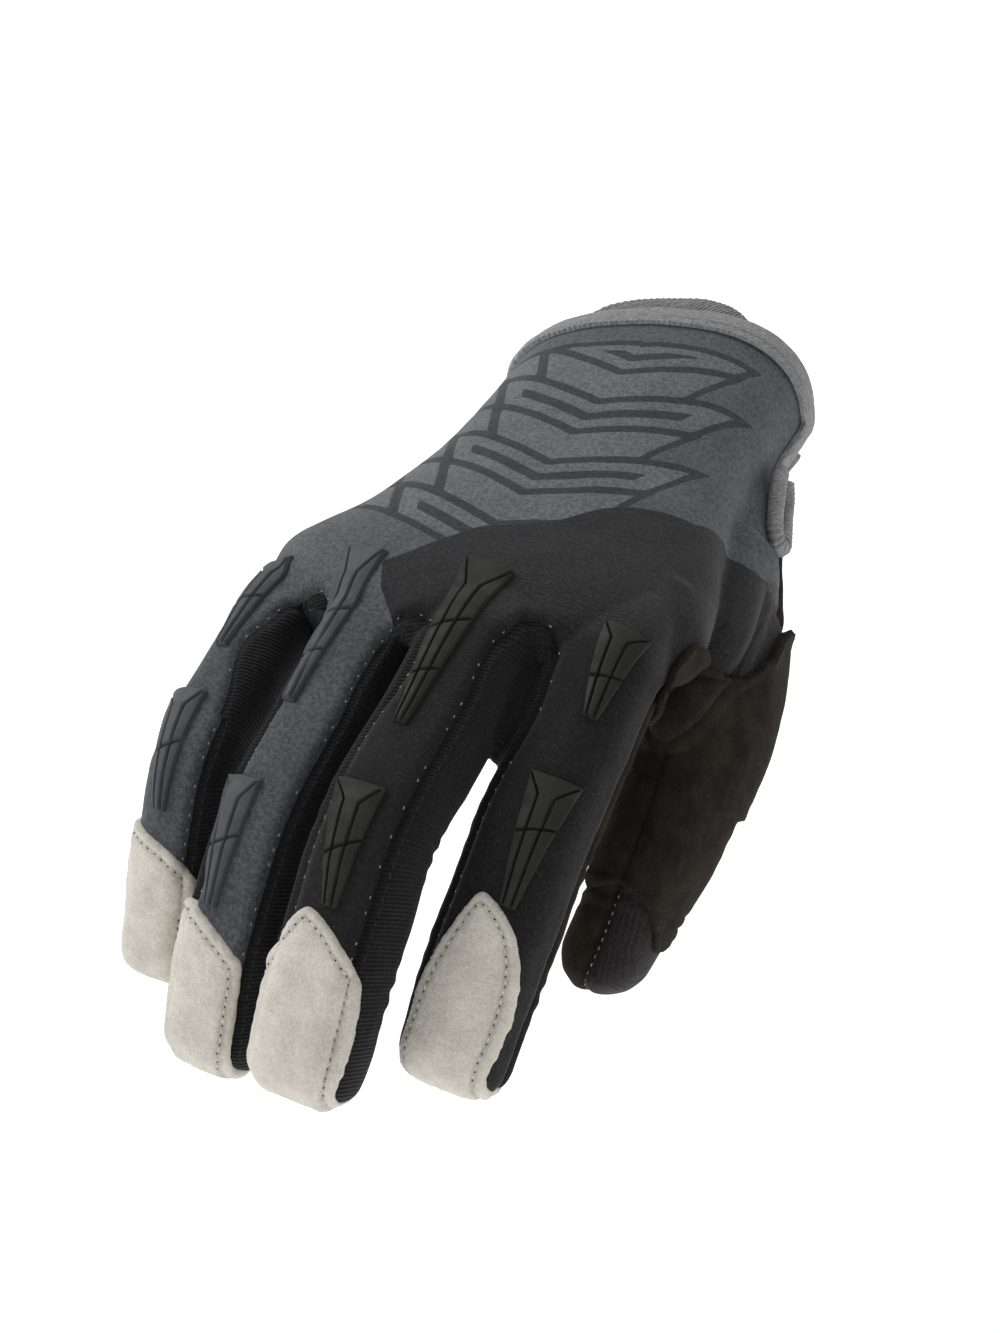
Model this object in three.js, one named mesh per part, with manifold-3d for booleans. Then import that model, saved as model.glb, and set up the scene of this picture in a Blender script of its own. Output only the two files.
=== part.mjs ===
// A motocross glove for the right hand, in the shape that a worn hand gives it.
// Millimetres. +X towards the thumb, -Y towards the fingertips, +Z out of the back of the hand.
// The origin is the middle of the cuff's opening.
import * as THREE from "three";
import Module from "manifold-3d";

const wasm = await Module();
wasm.setup();

// Driving dimensions
const handLength = 126; // cuff rim to the web between middle and ring finger
const palmWidth = 102;
const palmDepth = 40;
const wall = 1.8; // main fabric with its lining
const notchHeight = -1; // middle of the notch above the cuff's middle, where the thumb's side turns down
const notchFall = -14;
const seamGap = 0.3; // between pieces that are sewn edge to edge
const layerGap = 0.3; // between a piece and what is sewn on top of it
const suedeThickness = 1.2;
const rubberThickness = 2.2;
const bindingWidth = 7.5;
const bindingLeg = 1; // each leg of the folded tape
const ribThickness = 1.4;
const ribReach = 8; // how far the ribbed insert stands out of the cuff
const ribDepth = 14; // how far it reaches into the cuff
const ribHalf = 24; // half its width
const fourchetteInset = 3.4; // seam of a finger's side strip, in from the finger's widest line
const sideSeamDrop = 2; // seam of back and palm, below the widest line
const notchLength = 26;
const notchWidth = 11;
const notchBorder = 5;
const loopCord = 4.4;
const loopLength = 18;
const loopWidth = 11;
const loopStart = [0.822, 0.2, -0.05]; // shares like the knuckles'
const loopAhead = [0.32, -1, -0.35]; // where its free end points
const loopOut = [1, 0, 0.2]; // away from the glove

// Sections of the hand from the cuff to the webs. Place as a share of the hand's length, half width
// on the small finger's side and on the thumb's side as shares of half the palm's width, top and
// bottom as shares of half the palm's depth, and how many degrees the thumb's side stands higher.
const handSections = [
  [0, 0.69, 0.73, 1.2, 1.2, 8],
  [0.25, 0.67, 0.74, 1.1, 1.1, 7],
  [0.42, 0.68, 0.79, 1.02, 1.02, 5],
  [0.58, 0.73, 0.88, 0.97, 0.95, 3],
  [0.71, 0.8, 0.95, 0.93, 0.885, 1],
  [0.84, 0.93, 1, 0.86, 0.8, 0],
  [0.92, 0.93, 0.97, 0.74, 0.7, 0],
  [0.96, 0.89, 0.93, 0.6, 0.58, 0],
  [1, 0.82, 0.86, 0.3, 0.3, 0],
];
// On the thumb's side the back reaches further down: from this share of half the palm's width, by these
// shares of half the palm's depth, one for a row ahead of the cuff and one for each section above
const dropStart = 0.2;
const thumbDrop = [0.7, 0.7, 0.8, 1.1, 1.1, 0.7, 0.25, 0, 0, 0];
const rimSlant = 0.13; // the cuff's edge reaches further back on the thumb's side
// How far the ends of the webs stand back from the middle one, as a share of the hand's length
const webCurve = 0.14;

// Fingers: knuckle as shares of half the palm's width, the hand's length and half the palm's depth,
// angles in degrees below the hand's plane, bones as shares of the hand's length, width of the palm's
// width and depth of the palm's depth.
const fingers = [
  { name: "index", across: 0.7, along: 0.857, up: 0.105, splay: -4.9, flex: [35.7, 42.8, 48.4], bones: [0.3468, 0.2159, 0.1841], width: 0.2353, depth: 0.55 },
  { name: "middle", across: 0.21, along: 0.917, up: 0.26, splay: -4.3, flex: [23.8, 50.4, 54.8], bones: [0.3889, 0.2429, 0.1968], width: 0.2314, depth: 0.55 },
  { name: "ring", across: -0.27, along: 0.933, up: 0.06, splay: -5.2, flex: [26.8, 52.2, 66], bones: [0.3667, 0.2389, 0.1905], width: 0.2137, depth: 0.5125 },
  { name: "pinky", across: -0.77, along: 0.917, up: -0.145, splay: -1.2, flex: [19.2, 62.3, 65.8], bones: [0.3024, 0.1952, 0.1889], width: 0.1784, depth: 0.4625 },
];
const tipLength = 9; // rounded end of a finger
const tipTaper = 0.94; // share of the width that is left there
const jointRadius = 9; // bend of a finger's middle line on each side of a joint
const knuckleSlope = 8; // degrees that a finger's line falls inside the hand
// Webs: the top end of each side strip as shares of half the palm's width and the hand's length, and
// by what share of the palm's width the strip widens on each side ahead of it
const webs = [
  { from: 0, to: 1, across: 0.465, along: 0.915, spread: 0.0078 },
  { from: 1, to: 2, across: -0.035, along: 0.975, spread: 0.0078 },
  { from: 2, to: 3, across: -0.53, along: 0.922, spread: 0.0294 },
];
// Thumb: points of its middle line as shares like the knuckles', half sections as shares of the
// palm's width
const thumbLine = [
  [0.36, 0.1, -0.3, 0.165, 0.15],
  [0.52, 0.3, -0.62, 0.1863, 0.1765],
  [0.72, 0.47, -1.02, 0.1765, 0.1618],
  [0.86, 0.64, -1.5, 0.1569, 0.1422],
  [0.905, 0.82, -2.05, 0.1373, 0.1176],
  [0.86, 0.96, -2.7, 0.1225, 0.0961],
  [0.78, 1.055, -3.4, 0.1078, 0.0843],
];
const thumbFacing = [0.95, 0.15, 0.25]; // where the thumb's back looks
const thumbSeam = 0.36; // start of the thumb's own panels, as a share of its line

// Web between thumb and palm: points as shares like the knuckles', half sections across and up as
// shares of the palm's width and depth
const thumbWeb = [
  [0.74, 0.4, -0.45, 0.1275, 0.325],
  [0.86, 0.6, -0.75, 0.098, 0.35],
  [0.87, 0.74, -1.1, 0.0686, 0.275],
  [0.87, 0.81, -1.35, 0.0392, 0.15],
];
// Edge of the thumb's second layer: across the view as a share of the palm's width, along the thumb
// as a share of the hand's length
const overlayEdge = [
  [-0.1471, 0.619], [-0.0588, 0.4921], [0.0588, 0.4286], [0.1569, 0.3968],
  [0.1569, 0.9365], [0.0588, 0.9444], [-0.0294, 0.9127], [-0.1471, 0.9524],
];

// Rubber strips over the knuckles and over the first joints: start and end along the finger from that
// joint as shares of the hand's length, middle across at both and half width as shares of the palm's
const knuckleStrips = {
  index: [-0.0119, 0.1349, 0.0451, 0.0549, 0.0441],
  middle: [-0.0794, 0.2381, -0.0294, -0.0098, 0.051],
  ring: [-0.0794, 0.1984, -0.0588, -0.0441, 0.0431],
  pinky: [-0.0635, 0.1349, -0.0353, -0.0333, 0.0373],
};
const fingerStrips = {
  index: [-0.1032, 0.1032, 0.0402, 0.0451, 0.049],
  middle: [-0.0397, 0.127, -0.0196, 0.0039, 0.051],
  ring: [-0.0278, 0.1587, -0.0451, -0.0275, 0.0471],
  pinky: [-0.0714, 0.0873, -0.0314, -0.0157, 0.0412],
};
// Patches over the fingertips: shift across as a share of the palm's width, length from the tip as a
// share of the hand's
const tipPatches = {
  index: [0.0118, 0.3016],
  middle: [0.0029, 0.2937],
  ring: [-0.0118, 0.2619],
  pinky: [0.002, 0.246],
};
for (const finger of fingers) {
  finger.bones = finger.bones.map((share) => share * handLength);
  finger.width *= palmWidth;
  finger.depth *= palmDepth;
}

const rad = Math.PI / 180;
const halfPalm = palmWidth / 2;
const halfDepth = palmDepth / 2;

// Solids

function solidOf(points, triangles) {
  const vertProperties = new Float32Array(points.length * 3);
  points.forEach((p, i) => vertProperties.set([p.x, p.y, p.z], i * 3));
  return new wasm.Manifold(new wasm.Mesh({ numProp: 3, vertProperties, triVerts: new Uint32Array(triangles) }));
}

function volumeSign(points, triangles) {
  let volume = 0;
  for (let i = 0; i < triangles.length; i += 3) {
    const [a, b, c] = [points[triangles[i]], points[triangles[i + 1]], points[triangles[i + 2]]];
    volume += a.x * (b.y * c.z - b.z * c.y) + a.y * (b.z * c.x - b.x * c.z) + a.z * (b.x * c.y - b.y * c.x);
  }
  return Math.sign(volume);
}

function closedSolid(points, triangles) {
  if (volumeSign(points, triangles) < 0) {
    for (let i = 0; i < triangles.length; i += 3) [triangles[i], triangles[i + 1]] = [triangles[i + 1], triangles[i]];
  }
  return solidOf(points, triangles);
}

// Skin through rings of equal count, with a fan at each end
function loft(rings) {
  const n = rings[0].length;
  const points = rings.flat();
  const triangles = [];
  for (let r = 0; r + 1 < rings.length; r++) {
    for (let i = 0; i < n; i++) {
      const [a, b] = [r * n + i, r * n + ((i + 1) % n)];
      triangles.push(a, b, a + n, b, b + n, a + n);
    }
  }
  for (const [r, turn] of [[0, true], [rings.length - 1, false]]) {
    const middle = rings[r].reduce((sum, p) => sum.add(p), new THREE.Vector3()).divideScalar(n);
    points.push(middle);
    for (let i = 0; i < n; i++) {
      const [a, b] = [r * n + i, r * n + ((i + 1) % n)];
      triangles.push(...(turn ? [b, a, points.length - 1] : [a, b, points.length - 1]));
    }
  }
  return closedSolid(points, triangles);
}

// Prism of a flat outline whose corners a function places at its low and its high end
function prism(outline, place) {
  const faces = THREE.ShapeUtils.triangulateShape(outline.map(([x, y]) => new THREE.Vector2(x, y)), []);
  const n = outline.length;
  const points = [...outline.map((p) => place(p, false)), ...outline.map((p) => place(p, true))];
  const triangles = [];
  let area = 0;
  outline.forEach(([x, y], i) => {
    const [u, v] = outline[(i + 1) % n];
    area += x * v - u * y;
  });
  for (const [a, b, c] of faces) {
    const [p, q, r] = [outline[a], outline[b], outline[c]];
    const same = ((q[0] - p[0]) * (r[1] - p[1]) - (r[0] - p[0]) * (q[1] - p[1])) * area > 0;
    triangles.push(...(same ? [a, c, b, n + a, n + b, n + c] : [a, b, c, n + a, n + c, n + b]));
  }
  for (let i = 0; i < n; i++) {
    const j = (i + 1) % n;
    triangles.push(i, j, n + i, j, n + j, n + i);
  }
  return closedSolid(points, triangles);
}

const union = (solids) => solids.reduce((sum, solid) => sum.add(solid));
const less = (solid, ...others) => others.reduce((rest, other) => rest.subtract(other), solid);

function block(low, high) {
  return prism([[low[0], low[1]], [high[0], low[1]], [high[0], high[1]], [low[0], high[1]]],
    ([x, y], top) => new THREE.Vector3(x, y, top ? high[2] : low[2]));
}

// Middle lines. Each gives a frame at a distance along it: place, forward, across and up.

function fingerLine(finger) {
  const turn = finger.splay * rad;
  const ahead = new THREE.Vector3(Math.sin(turn), -Math.cos(turn), 0);
  const across = new THREE.Vector3(Math.cos(turn), Math.sin(turn), 0);
  const direction = (degrees) => ahead.clone().multiplyScalar(Math.cos(degrees * rad)).setZ(-Math.sin(degrees * rad));
  const knuckle = new THREE.Vector3(finger.across * halfPalm, -finger.along * handLength, finger.up * halfDepth);
  const directions = [knuckleSlope, ...finger.flex].map(direction);
  const corners = [{ s: 0, place: knuckle }];
  finger.bones.forEach((bone, i) => corners.push({ s: corners[i].s + bone,
    place: corners[i].place.clone().addScaledVector(directions[i + 1], bone) }));
  const at = (s) => {
    const bend = corners.findIndex((corner, i) => i < 3 && Math.abs(s - corner.s) < jointRadius);
    let place, forward;
    if (bend >= 0) {
      const [before, after] = [directions[bend], directions[bend + 1]];
      const t = (s - corners[bend].s + jointRadius) / (2 * jointRadius);
      place = corners[bend].place.clone().addScaledVector(before, -jointRadius * (1 - t) ** 2)
        .addScaledVector(after, jointRadius * t ** 2);
      forward = before.clone().lerp(after, t).normalize();
    } else {
      const bone = s < 0 ? 0 : Math.min(corners.filter((corner) => s > corner.s).length, 3);
      const corner = corners[Math.max(bone - 1, 0)];
      forward = directions[bone].clone();
      place = corner.place.clone().addScaledVector(forward, s - corner.s);
    }
    return { place, forward, across, up: new THREE.Vector3().crossVectors(forward, across) };
  };
  return { at, length: corners[3].s, knuckle };
}

for (const finger of fingers) finger.line = fingerLine(finger);

const thumbCurve = new THREE.CatmullRomCurve3(thumbLine.map(
  ([across, along, up]) => new THREE.Vector3(across * halfPalm, -along * handLength, up * halfDepth)));
const thumbLength = thumbCurve.getLength();
const thumbAt = (s) => {
  const t = THREE.MathUtils.clamp(s / thumbLength, 0, 1);
  const forward = thumbCurve.getTangentAt(t);
  const place = thumbCurve.getPointAt(t).addScaledVector(forward, s - t * thumbLength);
  const up = new THREE.Vector3(...thumbFacing);
  up.addScaledVector(forward, -up.dot(forward)).normalize();
  return { place, forward, across: new THREE.Vector3().crossVectors(up, forward), up };
};
const thumbHalf = (s) => {
  const t = THREE.MathUtils.clamp(s / thumbLength, 0, 1) * (thumbLine.length - 1);
  const i = Math.min(Math.floor(t), thumbLine.length - 2);
  return [3, 4].map((k) => palmWidth * THREE.MathUtils.lerp(thumbLine[i][k], thumbLine[i + 1][k], t - i));
};

const inFrame = (frame, v, w) => frame.place.clone().addScaledVector(frame.across, v).addScaledVector(frame.up, w);

function oval(count, left, right, top, bottom, power) {
  return Array.from({ length: count }, (_, i) => {
    const a = ((i + 0.5) / count) * 2 * Math.PI;
    const [c, s] = [Math.cos(a), Math.sin(a)];
    return [Math.sign(c) * Math.abs(c) ** (2 / power) * (c > 0 ? right : left),
      Math.sign(s) * Math.abs(s) ** (2 / power) * (s > 0 ? top : bottom)];
  });
}

// Bodies of the glove, grown outward by a distance or shrunk where it is negative

const handRows = [[-0.1, ...handSections[0].slice(1)], ...handSections];
const inHand = (x, along, z, tilt) => {
  const turn = tilt * rad;
  const [u, w] = [x * Math.cos(turn) - z * Math.sin(turn), x * Math.sin(turn) + z * Math.cos(turn)];
  const back = webCurve * handLength * Math.max(along, 0) ** 3 * Math.abs(u / halfPalm + 0.04) ** 1.6;
  return new THREE.Vector3(u, -along * handLength + back + rimSlant * u * (1 - Math.min(Math.max(along, 0) / 0.5, 1)), w);
};

function handBody(grow) {
  return loft(handRows.map(([along, small, thumb, top, bottom, tilt], k) => {
    const last = k === handRows.length - 1 ? grow / handLength : 0;
    return oval(grow < 0 ? 14 : 22, small * halfPalm + grow, thumb * halfPalm + grow, top * halfDepth + grow,
      bottom * halfDepth + grow, 2.5 - 0.2 * Math.min(along * 2, 1)).map(([x, z]) => inHand(x, along + last, z, tilt));
  }));
}

function tipShares(length, grow) {
  return [0.1, 0.65, 0.95].map((u) => [length + grow - (tipLength + grow) * (1 - u), (1 - u ** 4) ** 0.25, (1 - u ** 2) ** 0.5]);
}

function fingerBody(finger, grow) {
  const { at, length } = finger.line;
  const [b1, b2] = finger.bones;
  const stations = [2, b1 - 6, b1 + 6, b1 + b2 - 4].map((s) => [s, 1, 1]);
  const tip = tipShares(length, grow).map(([s, wide, deep]) => [s, tipTaper * wide, tipTaper * deep]);
  const beyond = (1 + tipTaper) / 2;
  return loft([[-20, 0.78, 0.7], ...stations, [b1 + b2 + 5, beyond, beyond], ...tip].map(([s, wide, deep]) => {
    const [v, w] = [(finger.width / 2 + grow) * wide, (finger.depth / 2 + grow) * deep];
    return oval(grow < 0 ? 8 : 12, v, v, w, w, 2.5).map(([x, y]) => inFrame(at(s), x, y));
  }));
}

function thumbBody(grow) {
  const stations = [0, 0.14, 0.3, 0.46, 0.62, 0.78].map((t) => [t * thumbLength, 1, 1]);
  return loft([...stations, ...tipShares(thumbLength, grow)].map(([s, wide, deep]) => {
    const [v, w] = thumbHalf(s);
    return oval(grow < 0 ? 8 : 12, (v + grow) * wide, (v + grow) * wide, (w + grow) * deep, (w + grow) * deep, 2.4)
      .map(([x, y]) => inFrame(thumbAt(s), x, y));
  }));
}

function webBody(grow) {
  return loft(thumbWeb.map(([across, along, up, wide, deep], k) => {
    const last = k === thumbWeb.length - 1 ? grow : 0;
    const [a, b] = [Math.max(wide * palmWidth + grow, 1), Math.max(deep * palmDepth + grow, 1)];
    return oval(8, a, a, b, b, 2).map(([x, z]) => new THREE.Vector3(across * halfPalm + x, -along * handLength - last,
      up * halfDepth + z));
  }));
}

const gloveBody = (grow) => union([handBody(grow), webBody(grow), ...fingers.map((finger) => fingerBody(finger, grow)), thumbBody(grow)]);

// Cutters

// Swept four-sided bar along a finger, from across low to high and from up low to high
function bar(line, places, limits) {
  return loft(places.map((s) => {
    const [v0, v1, w0, w1] = limits(s);
    return [[v0, w0], [v1, w0], [v1, w1], [v0, w1]].map(([v, w]) => inFrame(line(s), v, w));
  }));
}

const alongFinger = (finger, from, to) => {
  const [b1, b2] = finger.bones;
  return [from, ...[2, b1 - 6, b1 + 6, b1 + b2 - 4, b1 + b2 + 5].filter((s) => s > from + 2 && s < to - 2), to];
};

function sideStripCutter(web, grow) {
  const sides = [[fingers[web.from], -1], [fingers[web.to], 1]].map(([finger, side]) => {
    const { at, length } = finger.line;
    const inner = finger.width / 2 - fourchetteInset - grow;
    const outer = finger.width / 2 + 1.3 + grow;
    const high = finger.depth / 2 + 4;
    return bar(at, alongFinger(finger, 10 - grow, length - 7 + grow),
      () => (side > 0 ? [inner, outer, -high, high] : [-outer, -inner, -high, high]));
  });
  const [x, y] = [web.across * halfPalm, -web.along * handLength];
  const radius = fourchetteInset + 0.9 + grow;
  const turn = 0.5 * (fingers[web.from].splay + fingers[web.to].splay) * rad;
  const outline = [];
  for (let i = 0; i <= 8; i++) outline.push([radius * Math.cos((i / 8) * Math.PI), radius * Math.sin((i / 8) * Math.PI)]);
  const half = radius + web.spread * palmWidth;
  outline.push([-half, -9], [-half, -18 - grow], [half, -18 - grow], [half, -9]);
  const place = ([u, v], top) => new THREE.Vector3(
    x + u * Math.cos(turn) - v * Math.sin(turn), y - radius + grow + u * Math.sin(turn) + v * Math.cos(turn), top ? 40 : -45);
  return union([...sides, prism(outline, place)]);
}

function upperCutter(grow) {
  const drop = sideSeamDrop + grow;
  const hand = loft(handRows.map(([along, small, thumb, , , tilt], k) => {
    const beyond = k === handRows.length - 1 ? 4 / handLength : 0;
    const [left, right, high] = [-small * halfPalm - 5 - grow, thumb * halfPalm + 14 + grow, 1.4 * halfDepth];
    const low = drop + thumbDrop[k] * halfDepth;
    return [[left, -drop], [dropStart * halfPalm, -drop], [right, -low], [right, high], [left, high]]
      .map(([x, z]) => inHand(x, Math.min(along, 0), z, tilt)
        .add(new THREE.Vector3(0, -(Math.max(along, 0) + beyond) * handLength, 0)));
  }));
  const tops = fingers.map((finger) => {
    const side = finger.width / 2 + 0.4;
    return bar(finger.line.at, alongFinger(finger, -10, finger.line.length + 4),
      () => [-side, side, -drop, finger.depth / 2 + 3]);
  });
  return union([hand, ...tops]);
}

function thumbCutter(grow) {
  const places = [thumbSeam * thumbLength - grow, 0.46 * thumbLength, 0.62 * thumbLength, 0.78 * thumbLength, thumbLength + 6];
  return loft(places.map((s) => {
    const [v, w] = thumbHalf(s);
    return oval(10, v + 2 + grow, v + 2 + grow, w + 2 + grow, w + 2 + grow, 2.4).map(([x, y]) => inFrame(thumbAt(s), x, y));
  }));
}
const thumbUpper = (grow) => bar(thumbAt, [0.3, 0.46, 0.62, 0.78, 1.1].map((t) => t * thumbLength), (s) => {
  const [v, w] = thumbHalf(s);
  return [-v - 5, v + 5, -grow, w + 6];
});

const outer = gloveBody(0);
const inner = gloveBody(-wall);
// All that lies beyond a line across the cuff, some way in from its edge
const rimCut = (back) => prism([[-90, -90 * rimSlant - back], [90, 90 * rimSlant - back], [90, 90], [-90, 90]],
  ([x, y], top) => new THREE.Vector3(x, y, top ? 60 : -60));
// The notch at the thumb's side of the cuff, widened by a distance
const notchCut = (grow) => prism([[12, notchWidth / 2 + grow], [-notchLength + 3, 1.2 + grow], [-notchLength - grow, 0], [-notchLength + 3, -1.2 - grow],
  [12, -notchWidth / 2 - grow]], ([y, z], top) => new THREE.Vector3(top ? 75 : 15, y + rimSlant * halfPalm * 0.76, z + notchHeight + (top ? notchFall : 0)));
const shell = less(outer, inner, rimCut(1.5), notchCut(1.5));

const webCut = webs.map((web) => sideStripCutter(web, 0));
const webCutWide = union(webs.map((web) => sideStripCutter(web, seamGap)));
const thumbCut = thumbCutter(0);
const thumbCutWide = thumbCutter(seamGap);

const pieces = {};
const offThumb = less(shell, thumbCutWide);
pieces.back_panel = less(offThumb.intersect(upperCutter(0)), webCutWide);
pieces.palm_panel = less(offThumb, upperCutter(seamGap), webCutWide);
webs.forEach((web, i) => {
  pieces[`fourchette_${fingers[web.from].name}_${fingers[web.to].name}`] = offThumb.intersect(webCut[i]);
});
const thumbShell = shell.intersect(thumbCut);
pieces.thumb_back = thumbShell.intersect(thumbUpper(0));
pieces.thumb_palm = less(thumbShell, thumbUpper(seamGap));

// Patches and strips sewn or moulded on a finger

function onFinger(finger, outline, low, high) {
  return prism(outline, ([v, s], top) => inFrame(finger.line.at(s), v, top ? high : low));
}

const layer = (body, thickness, cutter) => less(body(layerGap + thickness), body(layerGap)).intersect(cutter);

for (const finger of fingers) {
  const { name, depth, width, bones } = finger;
  const { length } = finger.line;
  const half = width / 2;
  const high = depth / 2 + 6;

  const [shift, reach] = [tipPatches[name][0] * palmWidth, tipPatches[name][1] * handLength];
  const end = length + 5;
  const shield = [[-0.45, reach], [0.25, 0.9 * reach], [0.72, 0.78 * reach], [0.88, 0.6 * reach], [0.86, 0.2 * reach]]
    .map(([v, back]) => [v * half + shift, length - back]);
  const left = [[-1.2, 0.1 * reach], [-1.2, 0.55 * reach], [-0.85, 0.82 * reach]].map(([v, back]) => [v * half + shift, length - back]);
  pieces[`tip_patch_${name}`] = layer((grow) => fingerBody(finger, grow), suedeThickness,
    onFinger(finger, [...shield, [0.8 * half + shift, end], [-1.2 * half + shift, end], ...left], -3, high));

  for (const [kind, table, joint, body] of [
    ["knuckle_strip", knuckleStrips, 0, (grow) => handBody(grow).add(fingerBody(finger, grow))],
    ["finger_strip", fingerStrips, bones[0], (grow) => fingerBody(finger, grow)]]) {
    const [from, to, v0, v1, wide] = table[name].map((share, k) => share * (k < 2 ? handLength : palmWidth));
    const at = (share) => joint + from + share * (to - from);
    const mid = (share) => v0 + share * (v1 - v0);
    const edge = [[0, 0.7], [0.06, 1], [0.42, 0.95], [1, 0.3]];
    const outline = [...edge.map(([t, k]) => [mid(t) + wide * k, at(t)]), ...edge.toReversed().map(([t, k]) => [mid(t) - wide * k, at(t)])];
    const across = onFinger(finger, [[mid(0.45) - 9, at(0.42)], [mid(0.45) + 9, at(0.42)], [mid(0.45) + 9, at(0.42) + 1.1],
      [mid(0.45) - 9, at(0.42) + 1.1]], -2, high);
    const strip = layer(body, rubberThickness, onFinger(finger, outline, 2, high));
    pieces[`${kind}_${name}`] = less(strip, less(across, body(layerGap + rubberThickness - 0.9)));
  }
}

const overlayCut = prism(overlayEdge, ([m, s], top) => {
  const frame = thumbAt(s * handLength);
  const view = frame.up.clone().multiplyScalar(0.6).addScaledVector(frame.across, -0.8);
  const side = frame.up.clone().multiplyScalar(0.8).addScaledVector(frame.across, 0.6);
  return frame.place.clone().addScaledVector(side, m * palmWidth).addScaledVector(view, top ? 21 : -4);
});
pieces.thumb_overlay = less(thumbBody(layerGap + suedeThickness).add(webBody(layerGap + suedeThickness)), gloveBody(layerGap))
  .intersect(overlayCut);

// Folded tape round the cuff's edge and the notch, with the panels' edge in its fold
const cuffBody = (grow) => handBody(grow).add(thumbBody(grow)).add(webBody(grow));
const tapeOuter = cuffBody(layerGap + bindingLeg);
const tapeInner = handBody(-wall - layerGap - bindingLeg);
const tapeZone = rimCut(bindingWidth).add(notchCut(notchBorder));
const fold = less(cuffBody(layerGap), handBody(-wall - layerGap), rimCut(1.2), notchCut(1.2));
pieces.cuff_binding = less(tapeOuter, tapeInner).intersect(tapeZone).subtract(union([fold, rimCut(0), notchCut(0)]));

// Ribbed elastic insert behind the tape at the back of the cuff
const ribZone = prism([...[-1, -0.75, -0.4, 0, 0.4, 0.75, 1].map((k) => [ribHalf * k, ribReach * (1 - k * k) ** 0.7]),
  [ribHalf, -ribDepth], [-ribHalf, -ribDepth]], ([x, y], top) => new THREE.Vector3(x, y + rimSlant * x, top ? 60 : 4));
pieces.cuff_rib = less(handBody(-wall - 2 * layerGap - bindingLeg), handBody(-wall - 2 * layerGap - bindingLeg - ribThickness)).intersect(ribZone);

// Pull loop of knitted cord on the thumb's side
{
  const side = loopWidth / 2 - loopCord / 2;
  const bend = [0, 0.25, 0.5, 0.75, 1].map((k) => [side * Math.cos(k * Math.PI), loopLength - loopCord / 2 - side + side * Math.sin(k * Math.PI)]);
  const path = [[side, 0], ...bend, [-side, 0]];
  const [ahead, out] = [new THREE.Vector3(...loopAhead).normalize(), new THREE.Vector3(...loopOut)];
  out.addScaledVector(ahead, -out.dot(ahead)).normalize();
  const across = new THREE.Vector3().crossVectors(ahead, out);
  const start = new THREE.Vector3(loopStart[0] * halfPalm, -loopStart[1] * handLength, loopStart[2] * halfDepth);
  const spot = ([u, v]) => start.clone().addScaledVector(across, u).addScaledVector(ahead, v);
  pieces.pull_loop = loft(path.map((p, i) => {
    const tangent = spot(path[Math.min(i + 1, path.length - 1)]).sub(spot(path[Math.max(i - 1, 0)])).normalize();
    const beside = new THREE.Vector3().crossVectors(tangent, out);
    return Array.from({ length: 8 }, (_, k) => spot(p)
      .addScaledVector(beside, (loopCord / 2) * Math.cos((k * Math.PI) / 4))
      .addScaledVector(out, (loopCord / 2) * Math.sin((k * Math.PI) / 4)));
  }));
}

const looks = {
  back_panel: 0x35383a, palm_panel: 0x2b2820, fourchette: 0x282828, thumb_back: 0x201b1d, thumb_palm: 0x2b2820,
  tip_patch: 0xbdb5ac, knuckle_strip: 0x272726, finger_strip: 0x272726, thumb_overlay: 0x2b2722, cuff_binding: 0x757577,
  cuff_rib: 0x5a5a5c, pull_loop: 0x666668,
};
const greyRubber = 0x58595d; // strips of the ring and the small finger
const lookOf = (name) => (/strip_(ring|pinky)/.test(name) ? greyRubber
  : looks[Object.keys(looks).find((key) => name.startsWith(key))]);

// Cutting can leave crumbs beside a piece: only its largest body is kept
function mainBody({ vertProperties, triVerts }) {
  const corner = (i) => vertProperties.subarray(i * 3, i * 3 + 3);
  const first = new Map();
  const parent = Array.from({ length: vertProperties.length / 3 }, (_, i) => {
    const key = Array.from(corner(i), (v) => Math.round(v * 2000)).join();
    if (!first.has(key)) first.set(key, i);
    return first.get(key);
  });
  const root = (i) => {
    while (parent[i] !== i) i = parent[i] = parent[parent[i]];
    return i;
  };
  for (let i = 0; i < triVerts.length; i += 3) {
    parent[root(triVerts[i + 1])] = root(triVerts[i]);
    parent[root(triVerts[i + 2])] = root(triVerts[i]);
  }
  const volumes = new Map();
  const volume = new THREE.Vector3();
  for (let i = 0; i < triVerts.length; i += 3) {
    const [a, b, c] = [0, 1, 2].map((k) => new THREE.Vector3(...corner(triVerts[i + k])));
    const body = root(triVerts[i]);
    volumes.set(body, (volumes.get(body) ?? 0) + a.dot(volume.crossVectors(b, c)) / 6);
  }
  const main = [...volumes].sort((a, b) => b[1] - a[1])[0][0];
  const kept = [];
  for (let i = 0; i < triVerts.length; i += 3) if (root(triVerts[i]) === main) kept.push(...triVerts.subarray(i, i + 3));
  return { vertProperties, triVerts: new Uint32Array(kept) };
}

const glove = new THREE.Group();
glove.name = "motocross_glove";
for (const [name, solid] of Object.entries(pieces)) {
  const { vertProperties, triVerts } = mainBody(solid.getMesh());
  const geometry = new THREE.BufferGeometry();
  geometry.setAttribute("position", new THREE.BufferAttribute(new Float32Array(vertProperties), 3));
  geometry.setIndex(new THREE.BufferAttribute(new Uint32Array(triVerts), 1));
  geometry.computeVertexNormals();
  const mesh = new THREE.Mesh(geometry, new THREE.MeshStandardMaterial({ color: lookOf(name), roughness: 0.9 }));
  mesh.name = name;
  glove.add(mesh);
}

export default glove;
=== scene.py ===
import bpy
import numpy as np
from math import cos, pi, radians, sin
from mathutils import Matrix, Vector
from mathutils.bvhtree import BVHTree


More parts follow.
